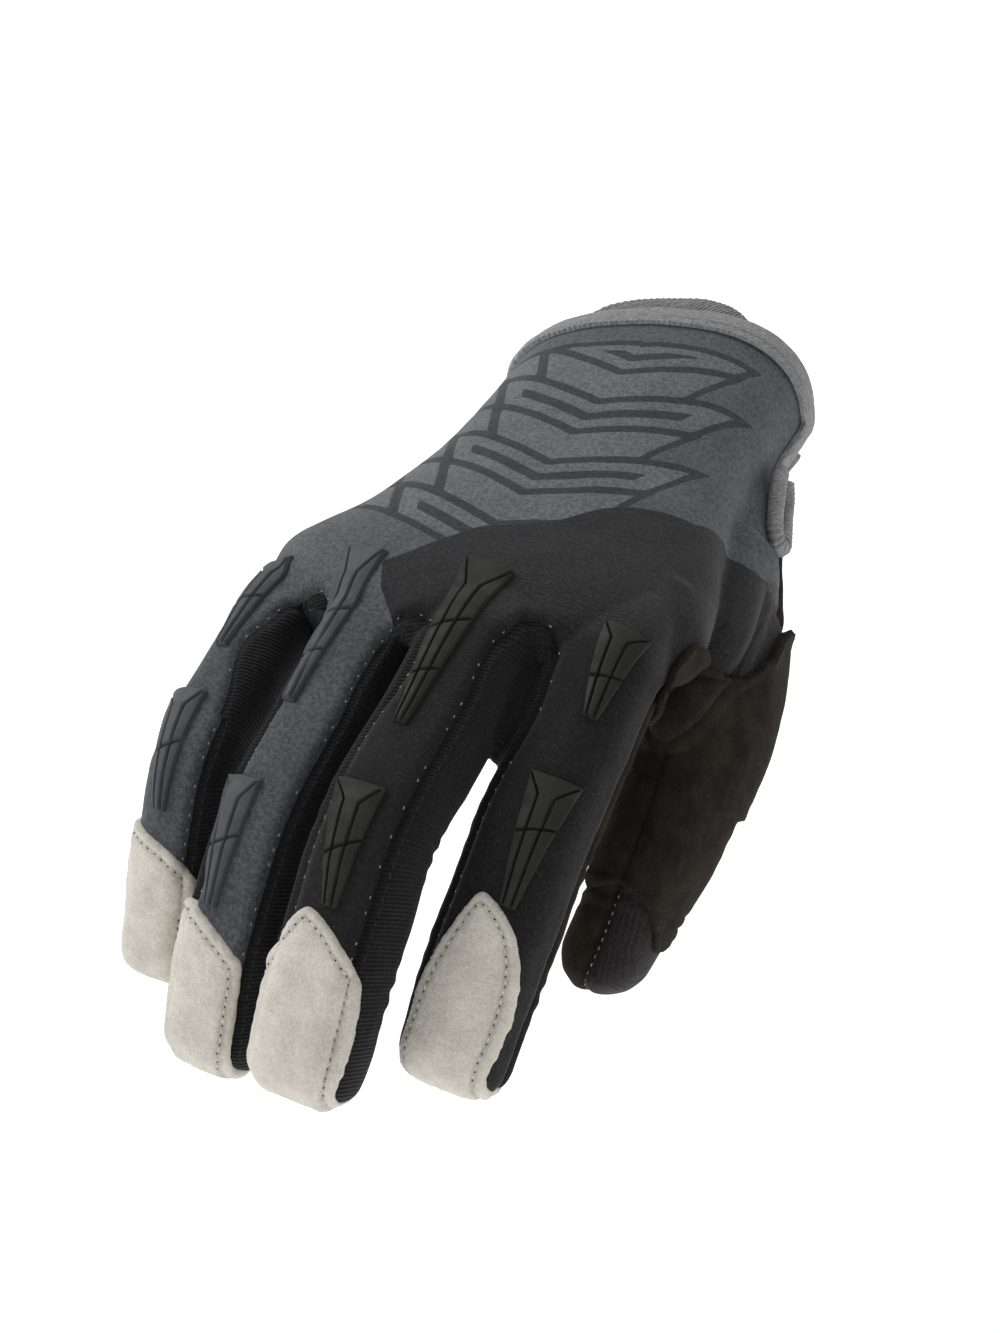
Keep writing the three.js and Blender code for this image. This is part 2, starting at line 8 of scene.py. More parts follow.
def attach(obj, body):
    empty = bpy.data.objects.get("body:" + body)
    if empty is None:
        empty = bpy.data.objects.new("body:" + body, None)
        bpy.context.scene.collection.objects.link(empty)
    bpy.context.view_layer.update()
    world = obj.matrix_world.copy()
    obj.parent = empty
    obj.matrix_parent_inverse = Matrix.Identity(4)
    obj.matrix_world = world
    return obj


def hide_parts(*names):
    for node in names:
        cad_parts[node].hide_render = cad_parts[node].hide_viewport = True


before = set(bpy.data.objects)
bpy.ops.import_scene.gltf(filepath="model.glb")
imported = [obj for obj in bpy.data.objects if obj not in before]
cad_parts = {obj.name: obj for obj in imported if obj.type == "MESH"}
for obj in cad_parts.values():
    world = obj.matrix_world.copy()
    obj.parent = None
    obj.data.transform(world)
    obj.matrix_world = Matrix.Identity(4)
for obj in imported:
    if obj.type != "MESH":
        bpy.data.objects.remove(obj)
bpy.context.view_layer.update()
rng = np.random.default_rng(11)

MM = 0.001
HAND, HALF_PALM, HALF_DEPTH = 126.0, 51.0, 20.0  # cuff to webs, half the width and depth of the palm
WALL = 1.5
VOXEL, RELAX_ROUNDS = 0.8, 24  # of the joined skin
OUT, FAR = 9, 99  # values of a field well away from its line, and further than any use of it

# The part's own tables, in the part's own units (see its source)
HAND_ROWS = [
    [-0.1, 0.69, 0.73, 1.2, 1.2, 8], [0, 0.69, 0.73, 1.2, 1.2, 8], [0.25, 0.67, 0.74, 1.1, 1.1, 7],
    [0.42, 0.68, 0.79, 1.02, 1.02, 5], [0.58, 0.73, 0.88, 0.97, 0.95, 3],
    [0.71, 0.8, 0.95, 0.93, 0.885, 1], [0.84, 0.93, 1, 0.86, 0.8, 0], [0.92, 0.93, 0.97, 0.74, 0.7, 0],
    [0.96, 0.89, 0.93, 0.6, 0.58, 0], [1, 0.82, 0.86, 0.3, 0.3, 0],
]
RIM_SLANT, WEB_CURVE = 0.13, 0.14
FINGERS = {name: dict(zip(("place", "splay", "flex", "bones", "half"), row)) for name, row in {
    "index": ((0.7, 0.857, 0.105), -4.9, (35.7, 42.8, 48.4), (43.7, 27.2, 23.2), (12, 11)),
    "middle": ((0.21, 0.917, 0.26), -4.3, (23.8, 50.4, 54.8), (49, 30.6, 24.8), (11.8, 11)),
    "ring": ((-0.27, 0.933, 0.06), -5.2, (26.8, 52.2, 66), (46.2, 30.1, 24), (10.9, 10.25)),
    "pinky": ((-0.77, 0.917, -0.145), -1.2, (19.2, 62.3, 65.8), (38.1, 24.6, 23.8), (9.1, 9.25)),
}.items()}
# Webs: place, how far the side strip spreads on the palm's side and reaches out at the finger's root,
# what its arch is wider by, and how far the arch moves to the small finger's side and ahead
WEBS = [("index", "middle", 0.465, 0.915, 0.8, 3, 0, 0, 0), ("middle", "ring", -0.035, 0.975, 0.8, 3, 0, 0, 0),
        ("ring", "pinky", -0.53, 0.922, 3, 5, 1.4, 2.6, 1.5)]
# Sections of the thumb and of the webs beside it: place, half width and half depth
THUMB = [
    [0.36, 0.1, -0.3, 16.8, 15.3], [0.52, 0.3, -0.62, 19, 18], [0.72, 0.47, -1.02, 18, 16.5],
    [0.86, 0.64, -1.5, 16, 14.5], [0.905, 0.82, -2.05, 14, 12], [0.86, 0.96, -2.7, 12.5, 9.8],
    [0.78, 1.055, -3.4, 11, 8.6],
]
THUMB_FACING = np.array([0.95, 0.15, 0.25])
THUMB_SEAM = 0.36
THUMB_WEB = [[0.74, 0.4, -0.45, 13, 13], [0.86, 0.6, -0.75, 10, 14], [0.87, 0.74, -1.1, 7, 11],
             [0.87, 0.81, -1.35, 4, 6]]
FORK_WEB = [[0.442, 0.92, -0.2, 4.6, 9], [0.43, 0.985, -0.27, 4.3, 8], [0.42, 1.03, -0.4, 3.6, 6.5],
            [0.415, 1.06, -0.5, 2.0, 3.5]]
TIP_LENGTH, TIP_TAPER, JOINT_RADIUS, KNUCKLE_SLOPE = 9.0, 0.94, 9.0, 8.0
SIDE_DROP, INSET = 2.0, 3.4  # of the seam below the widest line, and of the strips' seams in from it
DROP_START, THUMB_DROP = 0.2, (0.7, 0.7, 0.8, 1.1, 1.1, 0.7, 0.25, 0, 0, 0)


def unit(v):
    return v / np.maximum(np.linalg.norm(v, axis=-1, keepdims=True), 1e-12)


def smooth(x, low, high):
    t = np.clip((x - low) / (high - low), 0, 1)
    return t * t * (3 - 2 * t)


def bell(x, width):
    return np.exp(-((x / width) ** 2))


def distances(points):
    """How far along a line each of its points is."""
    return np.concatenate([[0], np.cumsum(np.linalg.norm(np.diff(points, axis=0), axis=1))])


def through(rows, count):
    """Smooth curve through rows of numbers, at evenly spread places."""
    rows = np.asarray(rows, float)
    t = np.linspace(0, len(rows) - 1, count)
    i = np.clip(t.astype(int), 0, len(rows) - 2)
    f = (t - i)[:, None]
    p = np.vstack([2 * rows[0] - rows[1], rows, 2 * rows[-1] - rows[-2]])
    a, b, c, d = p[i], p[i + 1], p[i + 2], p[i + 3]
    return 0.5 * (2 * b + (c - a) * f + (2 * a - 5 * b + 4 * c - d) * f**2 + (3 * b - a - 3 * c + d) * f**3)


def hand_place(x, y, z):
    return np.array([x * HALF_PALM, -y * HAND, z * HALF_DEPTH])


def oval(count, left, right, top, bottom, power):
    a = (np.arange(count) + 0.5) / count * 2 * pi
    c, s = np.cos(a), np.sin(a)
    return np.stack([np.sign(c) * np.abs(c) ** (2 / power) * np.where(c > 0, right, left),
                     np.sign(s) * np.abs(s) ** (2 / power) * np.where(s > 0, top, bottom)], 1)


# Middle lines as tables of frames: s, place, forward, across, up

def finger_line(f):
    turn = radians(f["splay"])
    ahead, across = np.array([sin(turn), -cos(turn), 0]), np.array([cos(turn), sin(turn), 0])
    ways = [ahead * cos(radians(a)) - np.array([0, 0, sin(radians(a))]) for a in (KNUCKLE_SLOPE, *f["flex"])]
    corners, lengths = [hand_place(*f["place"])], [0.0]
    for bone, way in zip(f["bones"], ways[1:]):
        corners.append(corners[-1] + bone * way)
        lengths.append(lengths[-1] + bone)
    table = []
    for s in np.arange(-30, lengths[3] + 12, 0.25):
        bend = next((i for i in range(3) if abs(s - lengths[i]) < JOINT_RADIUS), None)
        if bend is not None:
            t = (s - lengths[bend] + JOINT_RADIUS) / (2 * JOINT_RADIUS)
            place = corners[bend] - ways[bend] * JOINT_RADIUS * (1 - t) ** 2 + ways[bend + 1] * JOINT_RADIUS * t**2
            forward = unit(ways[bend] * (1 - t) + ways[bend + 1] * t)
        else:
            bone = 0 if s < 0 else min(sum(s > c for c in lengths), 3)
            c = max(bone - 1, 0)
            forward = ways[bone]
            place = corners[c] + forward * (s - lengths[c])
        table.append([s, *place, *forward, *across, *np.cross(forward, across)])
    f["length"] = lengths[3]
    return np.array(table)


def thumb_line():
    points = np.array([hand_place(*row[:3]) for row in THUMB])
    p = np.vstack([2 * points[0] - points[1], points, 2 * points[-1] - points[-2]])
    out = []
    for i in range(len(points) - 1):
        p0, p1, p2, p3 = p[i:i + 4]
        k = [max(np.sum((b - a) ** 2) ** 0.25, 1e-6) for a, b in ((p0, p1), (p1, p2), (p2, p3))]
        t1 = ((p1 - p0) / k[0] - (p2 - p0) / (k[0] + k[1]) + (p2 - p1) / k[1]) * k[1]
        t2 = ((p2 - p1) / k[1] - (p3 - p1) / (k[1] + k[2]) + (p3 - p2) / k[2]) * k[1]
        for t in np.linspace(0, 1, 200, endpoint=False):
            out.append(p1 + t1 * t + (-3 * p1 + 3 * p2 - 2 * t1 - t2) * t**2 + (2 * p1 - 2 * p2 + t1 + t2) * t**3)
    out.append(points[-1])
    out = np.array(out)
    length = distances(out)
    total = length[-1]
    table = []
    for s in np.arange(-6, total + 12, 0.25):
        t = np.clip(s, 0, total)
        place = np.array([np.interp(t, length, out[:, k]) for k in range(3)])
        a, b = np.clip([t - 0.5, t + 0.5], 0, total)
        forward = unit(np.array([np.diff(np.interp((a, b), length, out[:, k]))[0] for k in range(3)]))
        place = place + forward * (s - t)
        up = unit(THUMB_FACING - forward * (THUMB_FACING @ forward))
        table.append([s, *place, *forward, *np.cross(up, forward), *up])
    return np.array(table), total


for f in FINGERS.values():
    f["line"] = finger_line(f)
thumb_table, THUMB_LENGTH = thumb_line()


def frame_at(table, s):
    """Rows of place, forward, across and up at distances along a line."""
    s = np.atleast_1d(s)
    cols = np.stack([np.interp(s, table[:, 0], table[:, k]) for k in range(1, 13)], 1)
    return cols[:, 0:3], unit(cols[:, 3:6]), unit(cols[:, 6:9]), unit(cols[:, 9:12])


def local(table, points):
    """Distance along a line, across and up of points."""
    best = np.full(len(points), 1e9)
    where = np.zeros(len(points), int)
    for i in range(0, len(table), 4):
        d = np.abs((points - table[i, 1:4]) @ table[i, 4:7]) + 0.02 * np.linalg.norm(points - table[i, 1:4], axis=1)
        near = d < best
        best[near], where[near] = d[near], i
    row = table[where]
    s = row[:, 0] + np.einsum("ij,ij->i", points - row[:, 1:4], row[:, 4:7])
    place, _, across, up = frame_at(table, s)
    d = points - place
    return s, np.einsum("ij,ij->i", d, across), np.einsum("ij,ij->i", d, up)


# Bodies, as closed skins

def loft(rings):
    """Closed skin through rings of points, with a fan on each end."""
    n, last = len(rings[0]), (len(rings) - 1) * len(rings[0])
    turn = [(i, (i + 1) % n) for i in range(n)]
    faces = [(r + i, r + j, r + n + j, r + n + i) for r in range(0, last, n) for i, j in turn]
    faces += [(j, i, last + n) for i, j in turn] + [(last + i, last + j, last + n + 1) for i, j in turn]
    return [*(p for ring in rings for p in ring), np.mean(rings[0], axis=0), np.mean(rings[-1], axis=0)], faces


def in_hand(x, along, z, tilt):
    turn = np.radians(tilt)
    u, w = x * np.cos(turn) - z * np.sin(turn), x * np.sin(turn) + z * np.cos(turn)
    back = WEB_CURVE * HAND * np.maximum(along, 0) ** 3 * np.abs(u / HALF_PALM + 0.04) ** 1.6
    return np.stack([u, -along * HAND + back + RIM_SLANT * u * (1 - np.clip(along / 0.5, 0, 1)), w], -1)


def hand_body():
    rings = []
    for along, small, wide, top, bottom, tilt in through(HAND_ROWS, 120):
        power = 2.5 - 0.2 * min(max(along * 2, 0), 1)
        o = oval(96, small * HALF_PALM, wide * HALF_PALM, top * HALF_DEPTH, bottom * HALF_DEPTH, power)
        rings.append(in_hand(o[:, 0], along, o[:, 1], tilt))
    return loft(rings)


def tip_shares(length):
    u = np.concatenate([np.linspace(0.05, 0.8, 7), [0.88, 0.94, 0.98, 0.997]])
    return [(length - TIP_LENGTH * (1 - t), (1 - t**4) ** 0.25, (1 - t**2) ** 0.5) for t in u]


def tube(table, stops, count, power):
    """Ovals on a line, from rows of distance along it, half width and half depth."""
    rings = []
    for s, v, w in stops:
        place, _, across, up = frame_at(table, s)
        o = oval(count, v, v, w, w, power)
        rings.append(place + o[:, :1] * across + o[:, 1:] * up)
    return loft(rings)


def finger_body(f):
    length, (b1, b2, _) = f["length"], f["bones"]
    end = (1 + TIP_TAPER) / 2
    stops = [(s, 0.78 + 0.22 * smooth(s, -20, 4), 0.7 + 0.3 * smooth(s, -20, 4)) for s in np.linspace(-20, 6, 14)]
    stops += [(s, 1, 1) for s in np.linspace(8, b1 + b2 - 4, 40)]
    stops += [(b1 + b2 + 1, 0.5 + end / 2, 0.5 + end / 2), (b1 + b2 + 5, end, end)]
    stops += [(s, TIP_TAPER * a, TIP_TAPER * b) for s, a, b in tip_shares(length)]
    v, w = f["half"]
    return tube(f["line"], [(s, v * wide, w * deep) for s, wide, deep in stops], 56, 2.5)


def thumb_half(s):
    t = np.clip(np.asarray(s, float) / THUMB_LENGTH, 0, 1) * (len(THUMB) - 1)
    fine, place = through(np.array(THUMB)[:, 3:], 241), np.linspace(0, len(THUMB) - 1, 241)
    return np.interp(t, place, fine[:, 0]), np.interp(t, place, fine[:, 1])


def thumb_body():
    stops = [(s, 1, 1) for s in np.linspace(0, THUMB_LENGTH - TIP_LENGTH, 60)] + tip_shares(THUMB_LENGTH)
    halves = [thumb_half(s) for s, _, _ in stops]
    return tube(thumb_table, [(s, v * wide, w * deep) for (s, wide, deep), (v, w) in zip(stops, halves)], 64, 2.4)


def web_body(sections):
    rings = []
    for x, y, z, a, b in through(sections, 24):
        o = oval(48, a, a, b, b, 2)
        rings.append(hand_place(x, y, z) + np.stack([o[:, 0], np.zeros(48), o[:, 1]], 1))
    return loft(rings)


def added(name, data):
    obj = bpy.data.objects.new(name, data)
    bpy.context.scene.collection.objects.link(obj)
    return obj


def joined_skin(bodies):
    """Points and triangles of one skin round closed bodies that run into each other."""
    points, faces = [], []
    for p, f in bodies:
        faces += [tuple(i + len(points) for i in face) for face in f]
        points += list(p)
    mesh = bpy.data.meshes.new("skin_source")
    mesh.from_pydata([tuple(p) for p in points], [], faces)
    mesh.update()
    obj = added("skin_source", mesh)
    remesh = obj.modifiers.new("join", "REMESH")
    remesh.mode, remesh.voxel_size = "VOXEL", VOXEL
    made = obj.evaluated_get(bpy.context.evaluated_depsgraph_get()).to_mesh()
    made.calc_loop_triangles()
    points, tris = np.empty(len(made.vertices) * 3), np.empty(len(made.loop_triangles) * 3, np.int64)
    made.vertices.foreach_get("co", points)
    made.loop_triangles.foreach_get("vertices", tris)
    bpy.data.objects.remove(obj)
    return points.reshape(-1, 3), tris.reshape(-1, 3)


def edges_of(tris):
    e = np.sort(np.vstack([tris[:, [0, 1]], tris[:, [1, 2]], tris[:, [2, 0]]]), axis=1)
    return np.unique(e, axis=0)


def relax(points, tris, rounds):
    """Smooths by turns in and out, so that the skin doesn't shrink."""
    e = edges_of(tris)
    count = np.bincount(e.ravel(), minlength=len(points))[:, None]
    p = points.copy()
    for k in range(rounds):
        total = np.zeros_like(p)
        for c in range(3):
            total[:, c] = np.bincount(e[:, 0], p[e[:, 1], c], len(p)) + np.bincount(e[:, 1], p[e[:, 0], c], len(p))
        p += (0.5, -0.53)[k % 2] * (total / count - p)
    return p


def normals_of(points, tris):
    a, b, c = points[tris[:, 0]], points[tris[:, 1]], points[tris[:, 2]]
    n = np.cross(b - a, c - a)
    out = np.zeros_like(points)
    for k in range(3):
        for d in range(3):
            out[:, d] += np.bincount(tris[:, k], n[:, d], len(points))
    return unit(out)


def value_noise(points, scale, seed):
    """Smooth noise in space, -1 to 1."""
    q = points / scale
    i = np.floor(q).astype(int)
    f = q - i
    f = f * f * (3 - 2 * f)
    table = np.random.default_rng(seed).uniform(-1, 1, 4096)
    out = 0
    for corner in np.ndindex(2, 2, 2):
        h = (i + corner) * (73856093, 19349663, 83492791)
        out = out + np.prod(np.where(corner, f, 1 - f), axis=1) * table[(h[:, 0] ^ h[:, 1] ^ h[:, 2]) & 4095]
    return out


def both(a, b, k=2.0):
    """The lesser of two fields, with a rounded corner of k mm."""
    h = np.clip(0.5 + 0.5 * (b - a) / k, 0, 1)
    return b + (a - b) * h - k * h * (1 - h)


def either(a, b, k=2.0):
    return -both(-a, -b, k)


def inside(points, outline):
    """Signed distance to a flat outline, positive inside."""
    poly = np.asarray(outline, float)
    best = np.full(len(points), 1e9)
    odd = np.zeros(len(points), bool)
    for a, b in zip(poly, np.roll(poly, -1, axis=0)):
        e = b - a
        t = np.clip(((points - a) @ e) / max(e @ e, 1e-9), 0, 1)
        best = np.minimum(best, np.linalg.norm(points - a - t[:, None] * e, axis=1))
        cross = (a[1] > points[:, 1]) != (b[1] > points[:, 1])
        with np.errstate(divide="ignore", invalid="ignore"):
            x = (b[0] - a[0]) * (points[:, 1] - a[1]) / (b[1] - a[1]) + a[0]
        odd ^= cross & (points[:, 0] < x)
    return np.where(odd, best, -best)


def rounded(outline, times=2):
    """An outline with its corners cut."""
    p = np.asarray(outline, float)
    for _ in range(times):
        q = np.roll(p, -1, axis=0)
        p = np.stack([0.75 * p + 0.25 * q, 0.25 * p + 0.75 * q], 1).reshape(-1, 2)
    return p


# The glove's outer skin and what is known at each of its points

skin, skin_tris = joined_skin([hand_body(), web_body(THUMB_WEB), web_body(FORK_WEB), thumb_body(),
                               *(finger_body(f) for f in FINGERS.values())])
skin = relax(skin, skin_tris, RELAX_ROUNDS)
normal = normals_of(skin, skin_tris)
known = {name: local(f["line"], skin) for name, f in FINGERS.items()}

# Place in the hand as a share of its length, and height over its tilted middle plane
sx, sy, sz = skin.T
share = np.clip(-sy / HAND, -0.1, 1)
rows = np.array(HAND_ROWS, float)
tilt = np.radians(np.interp(share, rows[:, 0], rows[:, 5]))
hand_height = -sx * np.sin(tilt) + sz * np.cos(tilt)

# Back or palm: above or below a line down the glove's sides
hand_across = sx * np.cos(tilt) + sz * np.sin(tilt)
drop_from = DROP_START * HALF_PALM
thumb_edge = np.interp(share, rows[:, 0], rows[:, 2]) * HALF_PALM + 14
thumb_drop = np.interp(share, rows[:, 0], THUMB_DROP) * HALF_DEPTH
height = hand_height + SIDE_DROP
height += thumb_drop * np.maximum((hand_across - drop_from) / (thumb_edge - drop_from), 0)
finger_weight, finger_height = np.zeros(len(skin)), np.zeros(len(skin))
nearest, owner, closest = np.full(len(skin), 1e9), np.zeros(len(skin), int), np.full(len(skin), np.inf)
for k, (name, f) in enumerate(FINGERS.items()):
    s, v, w = known[name]
    away = np.hypot(v / (2 * f["half"][0]), w / (2 * f["half"][1])) + np.where(s > f["length"] + 3, OUT, 0)
    owner, closest = np.where(away < closest, k, owner), np.minimum(away, closest)
    away = away + np.where(s < -18, OUT, 0)
    closer = away < nearest
    nearest = np.minimum(nearest, away)
    finger_weight = np.where(closer, smooth(s, -6, 10), finger_weight)
    finger_height = np.where(closer, w + SIDE_DROP, finger_height)
is_upper = height * (1 - finger_weight) + finger_height * finger_weight

# The thumb's own panels
ts, tv, tw = local(thumb_table, skin)
half_v, half_w = thumb_half(ts)
thumb_reach = 1 - ((np.abs(tv) / (half_v + 2.5)) ** 2.4 + (np.abs(tw) / (half_w + 2.5)) ** 2.4)
is_thumb = both(ts - THUMB_SEAM * THUMB_LENGTH, thumb_reach * 9, 2)
is_thumb = np.where(sz < 4, is_thumb, -OUT)
thumb_up = tw - 1.6

# Side strips between the fingers, each with an arch round its web
ARCH_LENGTH = 26
strips = []
for first, second, x, y, spread, reach_out, wider, aside, forth in WEBS:
    field = np.full(len(skin), -np.inf)
    for name, side in ((first, -1), (second, 1)):
        s, v, w = known[name]
        f = FINGERS[name]
        edge = side * v - (f["half"][0] - INSET)
        outer = f["half"][0] + 1.6 + reach_out * (1 - smooth(s, 20, 34)) - side * v
        one = both(edge, np.minimum(s - 6, f["length"] + 1 - s), 3)
        one = np.minimum(one, np.minimum(outer * 3, 60 - np.abs(w)))
        one = np.where((s > 2) & (s < f["length"] + 4) & (np.abs(w) < f["half"][1] + 4), one, -OUT)
        field = np.maximum(field, one)
    turn = radians((FINGERS[first]["splay"] + FINGERS[second]["splay"]) / 2)
    radius = INSET + 0.9 + wider
    du, dv = sx - (x * HALF_PALM - aside), sy - (-y * HAND - radius - forth)
    u, d = du * cos(turn) + dv * sin(turn), -du * sin(turn) + dv * cos(turn)
    widen, narrow = spread * smooth(-d, 0, 9), 5 * smooth(-d, 10, ARCH_LENGTH)
    arch = np.where(d > 0, radius - np.hypot(u, d), radius + widen - narrow - np.abs(u))
    arch = np.where(d < -ARCH_LENGTH, -OUT, np.minimum(arch, d + ARCH_LENGTH))
    arch = np.where((sz < 40) & (sz > -45), arch, -OUT)
    strips.append(either(field, arch, 3))
is_strip = np.max(np.stack(strips), axis=0)

# Distance in from the cuff's edge and from the notch at the thumb's side
NOTCH_X, NOTCH_END, NOTCH_FALL = 15, -26, -14
rim_in = RIM_SLANT * sx - sy
notch_y = sy - RIM_SLANT * HALF_PALM * 0.76
notch_z = sz + 1 - NOTCH_FALL * (sx - NOTCH_X) / 60
notch_width = np.interp(notch_y, [NOTCH_END, NOTCH_END + 3, 12], [0, 1.2, 5.5])
notch_in = np.where(notch_y > NOTCH_END, np.abs(notch_z) - notch_width, np.hypot(notch_y - NOTCH_END, notch_z))
notch_in = np.where(sx > NOTCH_X, notch_in, FAR)
from_edge = both(rim_in, notch_in * 1.35, 1.5)

# Seams sink into the skin, panels swell a little between them
SEAM_DEPTH, SWELL = 0.75, 0.25
seam = np.minimum.reduce([np.abs(is_strip), np.where(is_strip < 0, np.abs(is_thumb), OUT),
                          np.where((is_strip < 0) & (is_thumb < 0), np.abs(is_upper), OUT),
                          np.where(is_thumb > 0, np.abs(thumb_up), OUT)])
sink = -SEAM_DEPTH * bell(seam, 0.9) + SWELL * bell(seam - 2.2, 1.4)
cloth_noise = 0.22 * value_noise(skin, 9, 3) + 0.1 * value_noise(skin, 4, 5)
# Creases across the bent joints: deep folds on the palm's side, faint ones beside them
FOLD_PITCH, FOLD_DEPTH, THUMB_FOLD_PITCH, THUMB_FOLD_DEPTH = 4.6, 0.5, 5, 0.2
crease = np.zeros(len(skin))
for k, (name, f) in enumerate(FINGERS.items()):
    s, v, w = known[name]
    under = smooth(-w, -2, 7)
    side = smooth(np.abs(v), 5, 11) * (1 - under)
    for joint in (f["bones"][0], f["bones"][0] + f["bones"][1]):
        t = s - joint
        wave = np.cos(t * 2 * pi / FOLD_PITCH + 0.5 * np.sin(v * 0.6)) * bell(t, 8)
        folds = -FOLD_DEPTH * under * (wave * 0.5 + 0.5) * bell(t, 9) + 0.08 * side * wave
        crease += np.where((owner == k) & (s > -4), folds, 0)
t = ts - 0.68 * THUMB_LENGTH
folds = -THUMB_FOLD_DEPTH * smooth(tv, -20, 0) * (np.cos(t * 2 * pi / THUMB_FOLD_PITCH) * 0.5 + 0.5) * bell(t, 9)
crease += np.where(is_thumb > 0, folds, 0)
plain_skin = skin.copy()
skin = skin + normal * (sink + cloth_noise + crease)[:, None]
normal = normals_of(skin, skin_tris)
tree = BVHTree.FromPolygons([Vector(p) for p in skin], [tuple(int(i) for i in t) for t in skin_tris])

# Coordinates of the cloth, in millimetres: across and along
sx, sy, sz = skin.T
along_cloth, across_cloth = -sy, sx
for k, (name, f) in enumerate(FINGERS.items()):
    s, v, w = known[name]
    weight = np.where(owner == k, smooth(s, -4, 8), 0)
    along_cloth = along_cloth * (1 - weight) + (s + f["place"][1] * HAND) * weight
    across_cloth = across_cloth * (1 - weight) + (v + f["place"][0] * HALF_PALM) * weight

# The grey part of the back: the cuff's side and the two outer fingers
GREY = [(70, 30), (70, -55), (51.2, -56.5), (50.2, -61), (47.6, -62.8), (43, -64), (38.6, -70.8), (32.5, -73.4),
        (27.2, -75.7), (21.5, -79.7), (14.7, -87.7), (6.4, -93.3), (0.6, -95.9), (-4.2, -101), (-9.8, -107.7),
        (-14.9, -112.2), (-12.5, -118), (-6.5, -124), (-14, -150), (-14, -240), (-80, -240), (-80, 30)]
grey = inside(skin[:, :2], GREY)
on_finger = finger_weight > 0.6
grey = np.where(owner >= 2, np.maximum(grey, np.where(on_finger, OUT, -FAR)), grey)
grey = np.where((owner < 2) & on_finger, -OUT, grey)

# Generic print: arrows one after the other down the hand, every second one with a dark slot, and blocks
# beside them on the small finger's side, all pale with a dark outline
PRINT_MIDDLE, PRINT_SLOPE, PRINT_LINE, PRINT_DEEP, PRINT_START = 3.0, 0.46, 2.1, 13.0, 9
PRINT_REACH, PRINT_BLOCK, PRINT_SLOT = (28, 22), 14, 1.6
off_middle = sx - PRINT_MIDDLE
ahead = -sy - PRINT_SLOPE * (16 - np.abs(off_middle))
on_back = np.minimum.reduce([sy + 106 + 0.4 * sx, RIM_SLANT * sx - sy - 15, is_upper - 3])
print_in, field_in = np.full(len(skin), -float(FAR)), np.full(len(skin), -float(FAR))
for row in range(7):
    reach = PRINT_REACH[row % 2]
    centre = ahead - PRINT_START - (row + 0.5) * PRINT_DEEP
    band = PRINT_DEEP / 2 + 0.3 - np.abs(centre) / np.hypot(1, PRINT_SLOPE)
    for place, near, far, slot in ((np.abs(off_middle), -9, reach, row % 2 == 0),
                                   (-off_middle, reach - 1, reach + PRINT_BLOCK, False),
                                   (-off_middle, reach + PRINT_BLOCK - 1, 90, False)):
        slant = place + 0.5 * centre
        shape = np.minimum.reduce([band, slant - near, far - slant, on_back])
        rim = np.minimum(shape, PRINT_LINE - shape)
        if slot:
            rim = np.maximum(rim, np.minimum.reduce([PRINT_SLOT - np.abs(centre), reach - 7.5 - slant, on_back - 4.5]))
        print_in, field_in = np.maximum(print_in, rim), np.maximum(field_in, shape - PRINT_LINE)


# Cutting the skin

def used_only(tris, points, fields):
    used, where = np.unique(tris, return_inverse=True)
    return where.reshape(-1, 3), points[used], {k: v[used] for k, v in fields.items()}


def crossed(tris, field, level, least):
    """A field from its level on, never nearer to it than least, and how many corners of each triangle are over it."""
    f = field - level
    f = np.where(np.abs(f) < least, least, f)
    return f, f > 0, (f > 0)[tris].sum(1)


def clipped(tris, points, fields, field, level):
    """The part of a skin where field is over level. New points are put on the line between."""
    f, sign, count = crossed(tris, field, level, 1e-4)
    edge_ids, new_points, extra = {}, [], []

    def cross(a, b):
        key = (a, b) if a < b else (b, a)
        if key not in edge_ids:
            edge_ids[key] = len(points) + len(new_points)
            new_points.append((*key, f[key[0]] / (f[key[0]] - f[key[1]])))
        return edge_ids[key]

    for t in tris[(count == 1) | (count == 2)].tolist():
        up = [bool(sign[i]) for i in t]
        alone = sum(up) == 1
        k = up.index(alone)
        a, b, c = t[k], t[(k + 1) % 3], t[(k + 2) % 3]
        p, q = cross(a, b), cross(a, c)
        extra += [(a, p, q)] if alone else [(p, b, c), (p, c, q)]
    if new_points:
        new = np.array(new_points)
        (i, j), w = new[:, :2].astype(int).T, new[:, 2:]
        points = np.vstack([points, points[i] * (1 - w) + points[j] * w])
        fields = {k: np.concatenate([v, (v[i].T * (1 - w[:, 0]) + v[j].T * w[:, 0]).T]) for k, v in fields.items()}
    return used_only(np.vstack([tris[count == 3], np.array(extra, int).reshape(-1, 3)]), points, fields)


def largest(tris, points, fields):
    """Drops stray bits: what isn't joined to a part of some size."""
    parent = np.arange(len(points))
    e = edges_of(tris)
    for _ in range(400):
        m = np.minimum(parent[e[:, 0]], parent[e[:, 1]])
        new = parent.copy()
        np.minimum.at(new, e[:, 0], m)
        np.minimum.at(new, e[:, 1], m)
        new = new[new]
        if np.array_equal(new, parent):
            break
        parent = new
    _, back, counts = np.unique(parent, return_inverse=True, return_counts=True)
    good = counts[back] >= max(0.02 * len(points), 20)
    return used_only(tris[good[tris].all(1)], points, fields)


FIELDS = dict(normal=normal, upper=is_upper, thumb=is_thumb, thumb_up=thumb_up, strip=is_strip, edge=from_edge,
              rim=rim_in, grey=grey, print=print_in, field=field_in, across=across_cloth, along=along_cloth,
              seam=seam, weight=finger_weight, **{f"strip{k}": strip for k, strip in enumerate(strips)})


def part_of(*cuts):
    """Skin where every (field, sign, level) holds."""
    tris, points, fields = skin_tris, skin, FIELDS
    for name, sign, level in cuts:
        tris, points, fields = clipped(tris, points, fields, sign * fields[name], level)
    return largest(tris, points, fields)


